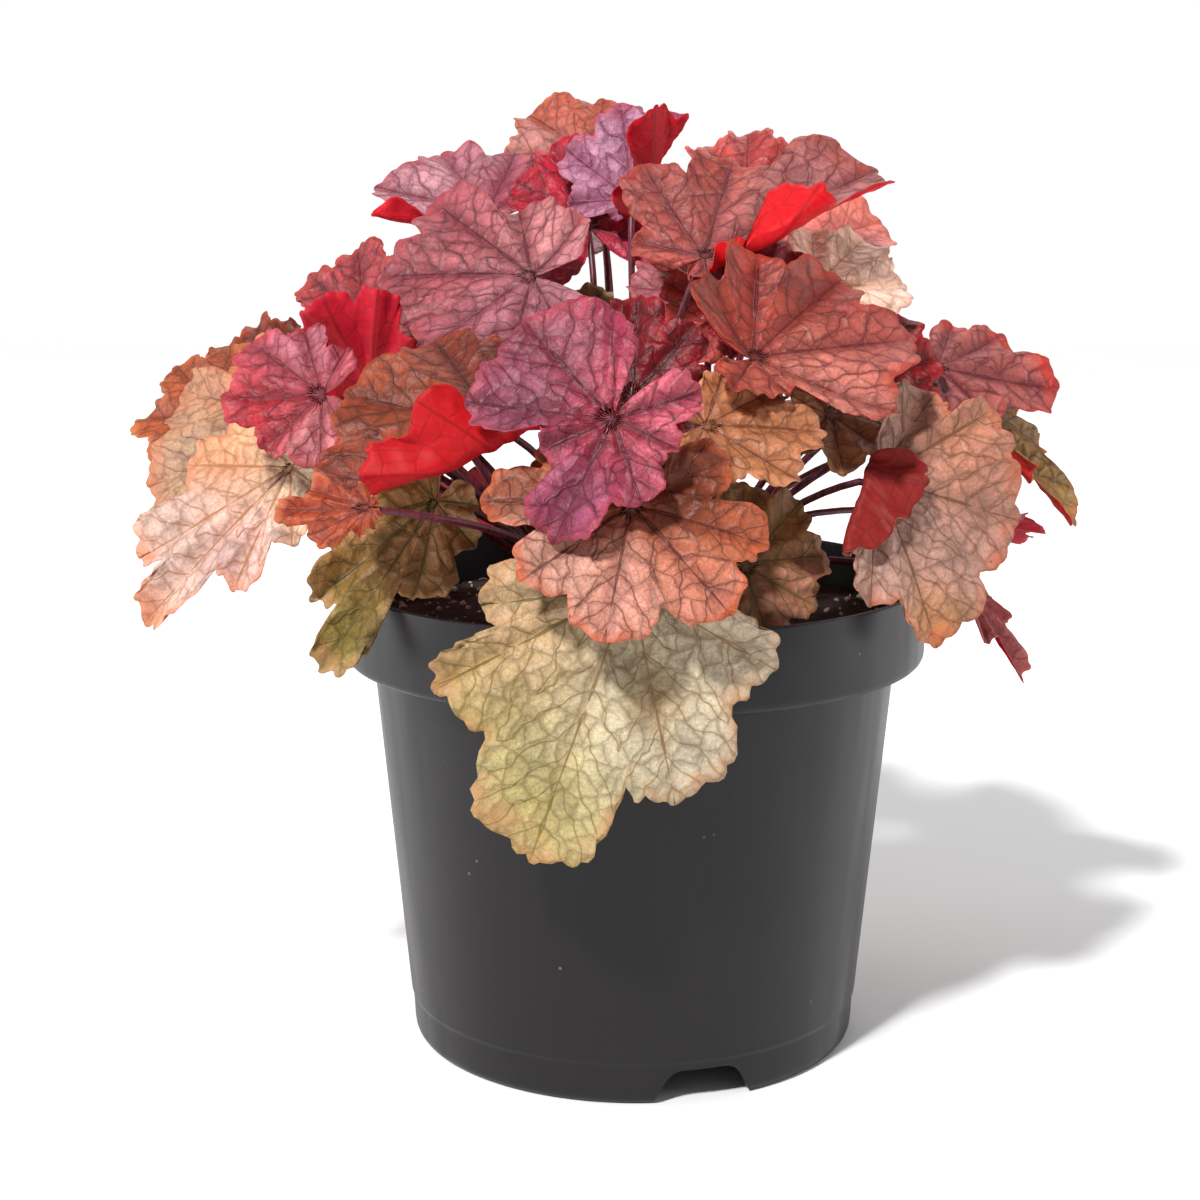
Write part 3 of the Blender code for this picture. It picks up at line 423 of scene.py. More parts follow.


# skin, veil, net: the leaf's own, in the order of TRAITS, where they differ from its finish. patches:
# (lobe, share of its reach, radius per blade length, colour, strength). bends: (bearing, distance out,
# angle, radius). lift: rise of each lobe. spread: bearing at which the blade's base ends. sinus: depth of
# the dips between lobes. ripple: depth of the folds along the ribs. rise: height of the petiole's arch
# Some patches are painted shade, as the dark brown over the upper lobes of the 23rd leaf
LEAVES = [
    # top of the plant
    leaf("orange", (-14, 287, 77), (-0.1, -0.65, 0.7),
        [(-19, 279), (-33, 281), (-43, 290), (-34, 303), (-10, 306), (5, 299), (4, 287)],
        patches=[(2, 0.7, 0.45, "#bf8680", 0.8)], skin="#bb5741 #7c301c #d07652"),
    leaf("mauve", (-1, 274, 23), (-0.3, -0.85, 0.4),
        [(-8, 268), (-22, 274), (-22, 290), (-4, 303), (14, 302), (31, 289), (21, 267)],
        bends=[(120, 0.04, 100, 0.14)], skin="#b67c96 #782846 #b53f54 #c00c20"),
    leaf("mauve", (-47, 270, 52), (0, -0.68, 0.72),
        [(-46, 258), (-65, 254), (-85, 264), (-83, 279), (-62, 291), (-38, 289), (-27, 278)],
        bends=[(-100, 0.22, 90, 0.12)], rise=0.28, skin="#b06d78 #712636 #aa464f #cc1024",
        patches=[(6, 0.6, 0.4, "#9e1d34", 0.7), (3, 0.7, 0.5, "#bc858e", 0.7)]),
    leaf("mauve", (-33, 250, -13), (-0.15, -0.65, 0.72),
        [(-19, 225), (-41, 220), (-69, 226), (-83, 253), (-65, 275), (-37, 271), (-15, 263)],
        lift=(0, 0, 0, 0, 0, 0, 0.4), skin="#a3535c #5f1723 #a7434b",
        patches=[(6, 0.8, 0.5, "#ca807f", 0.9), (0, 0.6, 0.5, "#b0727f", 0.8),
            (3, 0.7, 0.4, "#9a4b4f", 0.7)]),
    leaf("crimson", (-15, 266, 30), (-0.05, -0.75, 0.6),
        [(-33, 246), (-41, 262), (-38, 281), (-26, 292), (-4, 292), (12, 280), (13, 258)],
        skin="#b20d2d #640417 #c12132", patches=[(6, 0.8, 0.45, "#dc3e62", 0.8)]),
    leaf("rose", (22, 256, -24), (0, -0.72, 0.69),
        [(-1, 262), (2, 284), (31, 290), (77, 288), (71, 260), (40, 248), (24, 247)],
        bends=[(95, 0.06, 165, 0.06)], spread=174, skin="#9f5755 #692325 #a63e30 #d40c18",
        patches=[(0, 0.7, 0.35, "#ba4c3b", 0.6), (2, 0.9, 0.25, "#b34533", 0.8),
            (4, 0.8, 0.3, "#ca8376", 0.8), (3, 0.6, 0.3, "#ac6d6b", 0.7)]),
    leaf("rose", (35, 275, 55), (0, -0.7, 0.7),
        [(21, 269), (15, 280), (22, 293), (36, 298), (52, 291), (54, 276), (47, 266)],
        skin="#b94440 #7f2022 #d6665d"),
    # right of the middle
    leaf("peach", (44, 258, 20), (0.2, -0.55, 0.8),
        [(24, 270), (39, 282), (62, 282), (79, 269), (79, 250), (59, 239), (40, 241)], rise=0.6,
        skin="#df7f70 #ab4b42 #da6c57",
        patches=[(1, 0.8, 0.4, "#da5b3a", 0.8), (4, 0.8, 0.4, "#d26a76", 0.8)]),
    leaf("cream", (57, 246, -6), (0.25, -0.6, 0.75),
        [(44, 257), (57, 266), (74, 264), (87, 249), (82, 233), (67, 227), (51, 232)],
        skin="#f9cfba #c9936c #f9b49e"),
    leaf("rose", (38, 224, -50), (0.05, -0.7, 0.7),
        [(22, 240), (39, 254), (67, 253), (91, 232), (84, 204), (50, 211), (30, 209)],
        lift=(0.7, 0.16, 0, 0, 0, 0, 0.5), skin="#964036 #661a18 #b03c28",
        patches=[(4, 0.8, 0.5, "#c56e60", 0.9), (5, 0.7, 0.4, "#c97767", 0.9),
            (6, 0.7, 0.4, "#c1513a", 0.8), (0, 0.8, 0.4, "#b33e29", 0.7), (3, 0.85, 0.3, "#b75a51", 0.8)]),
    # The skins of this leaf and the next two are lightened to make up for the shade they lie in: painted
    # light
    leaf("crimson", (38, 240, -23), (0, -0.9, 0.4),
        [(24, 232), (20, 243), (25, 258), (38, 264), (54, 257), (60, 245), (52, 231)],
        skin="#a03844 #681820"),
    leaf("rose", (30, 237, -14), (0.1, -0.8, 0.6),
        [(32, 224), (19, 223), (9, 235), (9, 249), (21, 257), (36, 254), (41, 244)],
        skin="#c85c50 #8c2428 #cc3c34", patches=[(4, 0.7, 0.3, "#c82830", 0.8)]),
    leaf("mauve", (19, 245, 6), (0, -0.7, 0.7),
        [(25, 235), (13, 229), (1, 233), (-3, 246), (4, 258), (17, 260), (27, 255)], rise=0.45,
        skin="#bc6c74 #7c303c"),
    # right side
    leaf("crimson", (75, 216, -5), (0.1, -0.85, 0.5),
        [(64, 224), (72, 236), (88, 238), (98, 226), (99, 208), (87, 197), (74, 200)],
        skin="#780208 #3f0002 #aa0f15"),
    leaf("mauve", (97, 221, 11), (0.3, -0.6, 0.75),
        [(92, 231), (102, 235), (117, 230), (136, 213), (119, 204), (103, 205), (93, 212)],
        skin="#a3564f #611d25 #c1281d"),
    leaf("brown", (112, 208, 26), (0.55, -0.6, 0.5),
        [(116, 216), (124, 208), (134, 197), (145, 170), (124, 180), (113, 196), (109, 205)],
        bends=[(90, 0.1, 40, 0.12)], skin="#986f30 #68431d #c66a32"),
    # This leaf's skin is lightened to make up for the shade it lies in: painted light
    leaf("olive", (63, 206, -27), (0.1, -0.6, 0.8),
        [(53, 218), (65, 223), (82, 221), (91, 206), (85, 191), (69, 187), (54, 194)],
        skin="#b08058 #6e4428 #b87850"),
    leaf("peach", (79, 185, -49), (0.35, -0.82, 0.42),
        [(97, 213), (115, 207), (127, 172), (103, 130), (78, 142), (64, 160), (54, 197)],
        bends=[(132, 0.05, 160, 0.045)], skin="#b48a7c #744830 #c0603a #86201c", veil=0.4, net=0.45,
        patches=[(3, 0.95, 0.3, "#bc8048", 0.8), (2, 0.8, 0.4, "#ac7664", 0.7),
            (1, 0.7, 0.4, "#b87252", 0.7)]),
    # This leaf's skin is lightened to make up for the shade it lies in: painted light
    leaf("crimson", (109, 150, -16), (0.5, -0.8, 0.2),
        [(113, 150), (118, 146), (125, 137), (131, 118), (117, 130), (110, 139), (107, 144)], rise=0.46,
        skin="#b8605a #8c2c30 #c04038"),
    # front
    leaf("mauve", (-7, 204, -94), (-0.05, -0.85, 0.5),
        [(22, 214), (15, 194), (3, 175), (-27, 165), (-31, 194), (-55, 209), (-36, 236)], spread=172,
        skin="#a4304a #5c1022 #b04454",
        patches=[(5, 0.7, 0.45, "#905064", 0.9), (6, 0.7, 0.4, "#945060", 0.8),
            (0, 0.7, 0.5, "#c85c6c", 0.9), (1, 0.7, 0.4, "#c4586a", 0.9), (3, 0.7, 0.35, "#86405c", 0.9),
            (3, 0.05, 0.22, "#9c0c20", 0.9)]),
    leaf("crimson", (-1, 211, -49), (0, -0.9, 0.4),
        [(-20, 200), (-29, 217), (-21, 235), (1, 245), (20, 234), (26, 215), (16, 200)],
        skin="#800514 #400207 #bd2733"),
    leaf("tan", (23, 202, -65), (0.1, -0.75, 0.65),
        [(17, 212), (28, 219), (48, 216), (63, 202), (54, 184), (31, 181), (16, 190)], ripple=0.04,
        skin="#c47f55 #764027 #d48e6c"),
    # The dark brown patches over the two upper lobes, 0 and 6, are painted shade
    leaf("peach", (-1, 176, -97), (0.02, -0.85, 0.52),
        [(31, 193), (45, 164), (33, 140), (-10, 129), (-38, 150), (-51, 180), (-29, 202)], sinus=0.26,
        skin="#a05c42 #5e2012 #cc5e34 #7a1418", veil=0.5,
        patches=[(3, 0.8, 0.42, "#d8917c", 0.95), (4, 0.75, 0.45, "#d49a86", 0.95),
            (2, 0.8, 0.45, "#dc8e76", 0.95), (1, 0.7, 0.4, "#b45c38", 0.8), (0, 0.6, 0.45, "#7a3418", 0.9),
            (6, 0.6, 0.45, "#86401e", 0.9)]),
    leaf("cream", (-1, 149, -98), (0, -0.99, 0.1),
        [(31, 152), (48, 120), (14, 75), (-35, 55), (-68, 113), (-52, 142), (-24, 170)], sinus=0.25,
        bends=[(180, 0.02, -75, 0.1)], skin="#bdae8e #7a6420 #b07c50", veil=0.3, net=0.5,
        patches=[(2, 0.7, 0.45, "#c2b6a2", 0.9), (1, 0.7, 0.4, "#c8b49c", 0.9),
            (3, 0.3, 0.4, "#c4b898", 0.8), (4, 0.85, 0.35, "#98863c", 0.85),
            (3, 0.9, 0.35, "#a8985a", 0.85), (5, 0.8, 0.35, "#c09a76", 0.8),
            (2, 0.5, 0.12, "#8e7046", 0.7)],
        vein_patches=[(1, 0.7, 0.5, "#a07a54", 0.9), (2, 0.7, 0.4, "#8e6c40", 0.9)]),
    leaf("olive", (36, 156, -60), (0.25, -0.8, 0.5),
        [(20, 173), (36, 184), (55, 178), (65, 161), (61, 142), (45, 130), (27, 137)],
        skin="#b47a50 #715729 #ba7e51",
        patches=[(4, 0.7, 0.5, "#b07262", 0.8), (1, 0.7, 0.5, "#85622d", 0.7)]),
    leaf("brown", (-44, 201, -73), (-0.15, -0.65, 0.75),
        [(-24, 182), (-48, 167), (-79, 163), (-103, 176), (-94, 212), (-65, 232), (-36, 234)],
        bends=[(-95, 0.08, 150, 0.08)], skin="#86321c #4a140c #a84c2c #c0141c",
        patches=[(4, 0.6, 0.4, "#94421e", 0.8), (6, 0.7, 0.35, "#6e2c20", 0.8)]),
    leaf("rose", (-87, 175, -104), (-0.25, -0.75, 0.6),
        [(-84, 171), (-91, 166), (-107, 165), (-117, 173), (-107, 181), (-92, 182), (-86, 179)],
        skin="#bc532f #792617 #cd734d"),
    leaf("olive", (-65, 177, -51), (-0.25, -0.88, 0.35),
        [(-51, 176), (-53, 162), (-72, 143), (-104, 119), (-106, 143), (-104, 168), (-79, 192)],
        bends=[(80, 0.2, 45, 0.2)], skin="#98703c #584814 #b08458 #842c20", veil=0.5,
        patches=[(4, 0.8, 0.5, "#a07444", 0.8), (3, 0.9, 0.4, "#786c30", 0.9),
            (6, 0.6, 0.4, "#906024", 0.8), (1, 0.7, 0.4, "#ac7c54", 0.8)]),
    # left side
    leaf("cream", (-105, 203, 1), (-0.4, -0.65, 0.65),
        [(-95, 190), (-111, 181), (-137, 175), (-159, 181), (-147, 214), (-127, 224), (-104, 222)],
        skin="#af8b6d #844e3a #bd6b47", veil=0.25, net=0.4,
        patches=[(6, 0.8, 0.35, "#c5846c", 0.8), (5, 0.9, 0.35, "#c17350", 0.7)]),
    leaf("peach", (-112, 188, -26), (-0.4, -0.8, 0.45),
        [(-101, 180), (-113, 162), (-134, 147), (-166, 137), (-165, 158), (-148, 190), (-130, 208)],
        skin="#d7c5a0 #ae7146 #d17c52 #cc5030", veil=0.25, net=0.4,
        patches=[(5, 0.8, 0.4, "#cf865c", 0.9), (3, 0.7, 0.35, "#d3ad9f", 0.9),
            (2, 0.8, 0.35, "#cfa59f", 0.9), (3, 0.95, 0.12, "#c36433", 0.9),
            (4, 0.8, 0.3, "#cfb1a6", 0.8)]),
    leaf("orange", (-133, 204, 28), (-0.35, -0.6, 0.7),
        [(-127, 188), (-144, 181), (-158, 190), (-161, 206), (-149, 222), (-131, 229), (-120, 219)],
        skin="#a04c2a #6a290f #be6e41"),
    leaf("mauve", (-101, 212, -45), (-0.3, -0.8, 0.5),
        [(-92, 198), (-103, 187), (-122, 194), (-133, 210), (-125, 230), (-108, 235), (-93, 228)],
        skin="#bb525f #6e101f #ba3843",
        patches=[(2, 0.6, 0.5, "#aa1322", 0.85), (3, 0.7, 0.4, "#a61a25", 0.85),
            (5, 0.7, 0.4, "#ba6978", 0.9), (1, 0.7, 0.4, "#ca7b7e", 0.9)]),
    leaf("crimson", (-85, 214, -20), (0.35, 0.75, 0.45),
        [(-70, 214), (-71, 230), (-83, 245), (-101, 244), (-111, 225), (-101, 209), (-86, 201)],
        skin="#8e0319 #4d010a #a40c1d #c01028"),
    leaf("rose", (-86, 233, 22), (-0.3, -0.75, 0.55),
        [(-99, 221), (-108, 233), (-105, 251), (-90, 261), (-71, 255), (-64, 241), (-70, 226)],
        skin="#9f3a3e #61151c #c54d3d"),
    leaf("orange", (-121, 222, 57), (-0.3, -0.6, 0.7),
        [(-130, 212), (-133, 220), (-133, 229), (-122, 237), (-111, 236), (-105, 227), (-110, 217)],
        skin="#7b2a12 #4e1204 #b5522a"),
    leaf("tan", (-66, 215, -6), (-0.1, -0.7, 0.7),
        [(-75, 210), (-80, 217), (-76, 228), (-65, 233), (-56, 228), (-52, 218), (-57, 210)], rise=0.2,
        skin="#d0a080"),
    leaf("olive", (-24, 228, -3), (0, -0.8, 0.6),
        [(-32, 220), (-38, 228), (-36, 239), (-27, 245), (-16, 242), (-10, 234), (-13, 224)]),
    leaf("olive", (-18, 231, 5), (0.1, -0.8, 0.6),
        [(-28, 230), (-29, 239), (-23, 246), (-10, 247), (-3, 239), (-4, 228), (-12, 222)], rise=0.3),
    # back
    back_leaf("peach", (-98, 66, 179), (-0.7, 0.5, -0.45), (-0.4, 0.5, 0.75), 56),
    back_leaf("tan", (-34, 72, 214), (-0.2, 0.95, -0.15), (0, 0.35, 0.92), 50),
    back_leaf("peach", (32, 76, 200), (0.25, 0.9, -0.3), (0.1, 0.45, 0.88), 56),
    back_leaf("cream", (86, 54, 188), (0.75, 0.55, -0.3), (0.4, 0.4, 0.8), 52),
    back_leaf("rose", (-45, 52, 242), (-0.6, 0.75, 0.1), (-0.3, 0.45, 0.85), 44),
    back_leaf("mauve", (-10, 78, 256), (-0.05, 1, 0.1), (0, 0.4, 0.9), 44),
    back_leaf("rose", (50, 54, 250), (0.6, 0.8, 0.05), (0.3, 0.4, 0.85), 44),
    back_leaf("orange", (2, 92, 232), (0.1, 1, -0.2), (0, 0.4, 0.9), 44),
    back_leaf("rose", (-49, 96, 163), (-0.35, 0.75, -0.6), (-0.2, 0.6, 0.75), 50),
    back_leaf("tan", (2, 104, 176), (0.05, 0.85, -0.6), (0, 0.6, 0.8), 54),
    back_leaf("mauve", (114, 78, 160), (0.8, 0.5, -0.4), (0.3, 0.5, 0.8), 40),
]


def unit(vector):
    """The vector's direction, with length 1."""
    return np.asarray(vector, float) / np.linalg.norm(vector)


def draws(seed):
    """A leaf's own small differences: of the lobes' bearings, of their reaches, and its waves' phases."""
    draw = np.random.default_rng(seed)
    return draw.uniform(-3, 3, 7), draw.uniform(0.95, 1.05, 7), draw.uniform(0, 2 * np.pi, 3)


def sinus_depths(spec, seed):
    """How deep the outline dips between neighbouring lobes, as a share of its reach."""
    return spec.get("sinus", 0.14) * np.random.default_rng(seed + 100).uniform(0.5, 1.5, 6)


def place_of(spec):
    """Where the petiole meets the blade: on the sight line through (across, up), at the given depth."""
    if "place" in spec:
        return np.array(spec["place"], float)
    across, up, depth = spec["foot"]
    return eye + (np.array([across, 0, up]) - eye) * (depth + VIEW_AWAY) / VIEW_AWAY


def plan_of(spec, seed):
    """The blade's foot, axes (across, along, facing) and length, and its lobes' bearings and reaches.

    Tips seen from the front are where their sight lines meet the blade's plane.
    """
    place = place_of(spec)
    facing = unit(spec["facing"])
    if "tips" in spec:
        sight = np.array([(x, 0, z) for x, z in spec["tips"]], float) - eye
        tips = eye + sight * (((place - eye) @ facing) / (sight @ facing))[:, None] - place
        along = unit(tips[3])
        across = np.cross(along, facing)
        bearings = np.degrees(np.arctan2(tips @ across, tips @ along))
        bearings[0] -= 360 * (bearings[0] > 0)
        bearings[6] += 360 * (bearings[6] < 0)
        reaches = np.linalg.norm(tips, axis=1)
        return place, np.array([across, along, facing]), reaches[3], bearings, reaches / reaches[3]
    along = unit(spec["heading"])
    facing = unit(facing - (facing @ along) * along)
    more, times, _ = draws(seed)
    axes = np.array([np.cross(along, facing), along, facing])
    return place, axes, spec["length"], LOBE_BEARINGS + more, LOBE_REACHES * times


def outline(bearing, reaches, sinus):
    """Reach at nominal bearings: each lobe falls off to its sides as off**3.2, less the gaps between its
    five large teeth, which are sine**2."""
    off = np.abs(bearing[:, None] - LOBES) / LOBE_HALVES
    depth = np.interp(bearing, [-106, -63, -21, 21, 63, 106], sinus)[:, None]
    reach = reaches * (1 - depth * np.minimum(off, 1.65) ** 3.2)
    reach = reach * (1 - 0.035 * np.sin(np.pi * off / 0.72) ** 2)
    beside = (off > 1.15) & (np.abs(bearing[:, None]) < 105)
    return np.where((off > 1.7) | beside, 0, reach).max(axis=1).clip(0.06)


def small_teeth(turn, reach, length):
    """Steps in from the outline along its normal, in blade lengths: depth * (1 - abs(cosine)**0.7) of the
    teeth passed along the edge, which leaves round teeth, 7 or 5 mm wide, between sharp nicks. Their
    widths and depths wander a little, and they fade out towards the foot of the blade."""
    width, most = (7.0, 1) if length > LARGE_BLADE else (5.0, 1.3)
    edge = np.stack([np.sin(turn), np.cos(turn)], axis=1) * reach[:, None]
    way = np.gradient(edge, axis=0)
    step = np.hypot(*way.T)
    passed = np.cumsum(step) * length / width
    depth = (0.022 + 0.008 * np.sin(1.7 * passed)) * most * ((reach - 0.2) / 0.3).clip(0, 1)
    nick = depth * (1 - np.abs(np.cos(np.pi * passed + 0.8 * np.sin(passed))) ** 0.7)
    return np.stack([way[:, 1], -way[:, 0]], axis=1) / (step[:, None] + 1e-9) * nick[:, None]


def bend(points, bearing, start, angle, radius):
    """Rolls what lies beyond a line across the bearing on to a cylinder, and straight on after the angle."""
    way = np.array([np.sin(np.radians(bearing)), np.cos(np.radians(bearing))])
    past = points[:, :2] @ way - start
    sign = np.sign(angle)
    curl = np.minimum(past / radius, abs(np.radians(angle)))
    flat = past - radius * curl
    run = radius * np.sin(curl) + flat * np.cos(curl)
    rise = radius * (1 - np.cos(curl)) + flat * np.sin(curl)
    height = points[:, 2]
    moved = points.copy()
    moved[:, :2] += np.where(past > 0, run - sign * height * np.sin(curl) - past, 0)[:, None] * way
    moved[:, 2] = np.where(past > 0, sign * rise + height * np.cos(curl), height)
    return moved


def lobe_share(bearing, values):
    """The lobes' values, blended smoothly between neighbours."""
    at = np.interp(bearing, LOBES, np.arange(7))
    left = np.minimum(at.astype(int), 5)
    part = (at - left) ** 2 * (3 - 2 * (at - left))
    values = np.asarray(values, float)
    return values[left] * (1 - part) + values[left + 1] * part


def blade_points(spec, seed, bearing, share, columns=0):
    """The blade's middle surface at nominal bearings and shares of its reach, and its flat layout.

    The flat blade sinks along its ribs and rises in waves, both as share**2. A grid whose rings have that
    many columns also gets the quilting between the veins, abs(sine) pillows that flatten towards the rib,
    the frill of the edge, two sines that grow as share**5, and the small teeth. The blade is then bent and
    set on its axes. The layout has flat x and y, and each point's distance along and across the nearest
    lobe's rib, all in blade lengths.
    """
    _, _, phase = draws(seed)
    place, axes, length, bearings, reaches = plan_of(spec, seed)
    reach = outline(bearing, reaches, sinus_depths(spec, seed))
    spread = spec.get("spread", 166)
    first = max(min(-spread, bearings[0] - 25), -178)
    last = min(max(spread, bearings[6] + 25), 178)
    turn = np.radians(np.interp(bearing, [-166, *LOBES, 166], [first, *bearings, last]))
    out = reach * share
    rise = share**2 * np.minimum(reach, 1)
    ribs = np.cos(np.radians(bearing) * 360 / 42)
    height = -spec.get("ripple", 0.06) * rise * (1 - 0.5 * share**3) * ribs
    waves = np.sin(2 * turn + phase[0]) + 0.7 * np.sin(3.3 * turn + phase[1])
    height += 0.06 * rise * (waves + 0.4 * np.sin(5.1 * turn + phase[2]))
    height += rise * lobe_share(bearing, spec.get("lift", np.zeros(7)))
    lobe = np.abs(bearing[:, None] - LOBES).argmin(axis=1)
    from_rib = turn - np.radians(bearings[lobe])
    along, across = out * np.cos(from_rib), np.abs(out * np.sin(from_rib))
    points = np.stack([out * np.sin(turn), out * np.cos(turn), height], axis=1)
    if columns:
        veins = (along - 0.85 * across) * length / QUILT_LENGTH + 0.35 * np.sin(9 * turn + phase[1])
        beside = 1 - np.exp(-((across * length / QUILT_SHOULDER) ** 2))
        quilt = (0.35 + 0.65 * np.abs(np.sin(np.pi * veins))) * beside * np.minimum(share * 3, 1)
        frill = share**5 * (np.sin(11 * turn + phase[0]) + 0.6 * np.sin(19 * turn + phase[2]))
        points[:, 2] += (QUILT_HEIGHT * quilt + FRILL_HEIGHT * frill) / length
        steps = small_teeth(turn[-columns:], reach[-columns:], length)
        points[1:, :2] += np.tile(steps, (len(share) // columns, 1)) * share[1:, None] ** 5
    layout = np.stack([points[:, 0], points[:, 1], along, across], axis=1)
    for one in spec.get("bends", ()):
        points = bend(points, *one)
    return place + length * points @ axes, layout


def petiole_path(spec, seed, foot, count=14):
    """Straight in its hole, then a cubic arch up to the blade and a little way on under the midrib."""
    place, axes, _, _, _ = plan_of(spec, seed)
    start = np.array([*foot, SOIL_LEVEL + 1.0])
    way = unit(place - start)
    size = np.linalg.norm(place - start)
    p1 = start + unit([*unit(foot) * 0.25, 1] + way * 0.8) * size * spec.get("rise", 0.36)
    p2 = place - unit(0.3 * axes[1] - 0.25 * axes[2] + 0.8 * way) * size * 0.3
    t = np.linspace(0, 1, count)[:, None]
    arch = (1 - t) ** 3 * start + 3 * (1 - t) ** 2 * t * p1 + 3 * (1 - t) * t**2 * p2 + t**3 * place
    under, _ = blade_points(spec, seed, np.zeros(3), np.array([0.03, 0.08, 0.14]))
    return np.concatenate([[start - [0, 0, HOLE_DEPTH]], arch[:-1], under - axes[2] * PETIOLE_TOP * 0.7])


def tube(path, radii, sides):
    """Points and quads of a closed tube: a ring of that radius square to the path at each of its points.

    The rings' first axis is carried along the path, turned as little as the path asks.
    """
    way = np.gradient(path, axis=0)
    way /= np.linalg.norm(way, axis=1)[:, None]
    first = [unit(np.cross(way[0], [0.3, 1, 0.1]))]
    for here in way[1:]:
        first.append(unit(first[-1] - (first[-1] @ here) * here))
    first = np.array(first)
    angle = np.arange(sides) * 2 * np.pi / sides
    second = np.cross(way, first)
    ring = np.cos(angle)[:, None] * first[:, None] + np.sin(angle)[:, None] * second[:, None]
    points = path[:, None] + ring * radii[:, None, None]
    index = np.arange(len(path) * sides).reshape(len(path), sides)
    after = np.roll(index, -1, axis=1)
    quads = np.stack([index[:-1], after[:-1], after[1:], index[1:]], axis=-1).reshape(-1, 4)
    half = np.arange(sides // 2 - 1)
    cap = np.stack([half, half + 1, sides - 2 - half, sides - 1 - half], axis=1)
    return points.reshape(-1, 3), np.concatenate([quads, cap[:, ::-1], cap + index[-1, 0]])


def foot_places():
    """Feet of the petioles in three rings: the higher a leaf, the nearer the middle it starts."""
    places = np.array([place_of(spec) for spec in LEAVES])
    order = list(np.argsort(-(places[:, 2] - 0.35 * np.hypot(places[:, 0], places[:, 1])), kind="stable"))
    feet = np.zeros((len(LEAVES), 2))
    for count, radius in FOOT_RINGS:
        ring, order = np.array(order[:count]), order[count:]
        bearing = np.arctan2(places[ring, 1], places[ring, 0]) % (2 * np.pi)
        around = ring[np.argsort(bearing)]
        even = np.arange(len(ring)) * 2 * np.pi / len(ring)
        angle = even + np.angle(np.exp(1j * (np.sort(bearing) - even)).sum())
        feet[around] = radius * np.stack([np.cos(angle), np.sin(angle)], axis=1)
    return feet


def blade_grid(length):
    """Nominal bearings and shares of the grid's columns and rings; a small blade has fewer of both."""
    marks = np.array([-166, -126, -105, -84, -63, -42, -21, 0, 21, 42, 63, 84, 105, 126, 166.0])
    steps = np.round(np.diff(marks) / 7 * (5 if length > 30 else 3)).astype(int)
    columns = [np.linspace(a, b, n + 1)[:-1] for a, b, n in zip(marks, marks[1:], steps)]
    rings = int(np.clip(length / 2.4, 10, 25))
    return np.concatenate([*columns, marks[-1:]]), np.linspace(0, 1, rings)[1:] ** 0.9


def paint(base, patches, layout, bearings, reaches):
    """One colour all over, with soft round patches of others on it, each fading as exp(-distance**3)."""
    colour = np.tile(linear(base), (len(layout), 1))
    for lobe, share, radius, patch, strength in patches:
        turn = np.radians(bearings[lobe])
        middle = share * reaches[lobe] * np.array([np.sin(turn), np.cos(turn)])
        near = strength * np.exp(-(((layout[:, :2] - middle) ** 2).sum(axis=1) / radius**2) ** 1.5)
        colour += near[:, None] * (np.array(linear(patch)) - colour)
    return colour


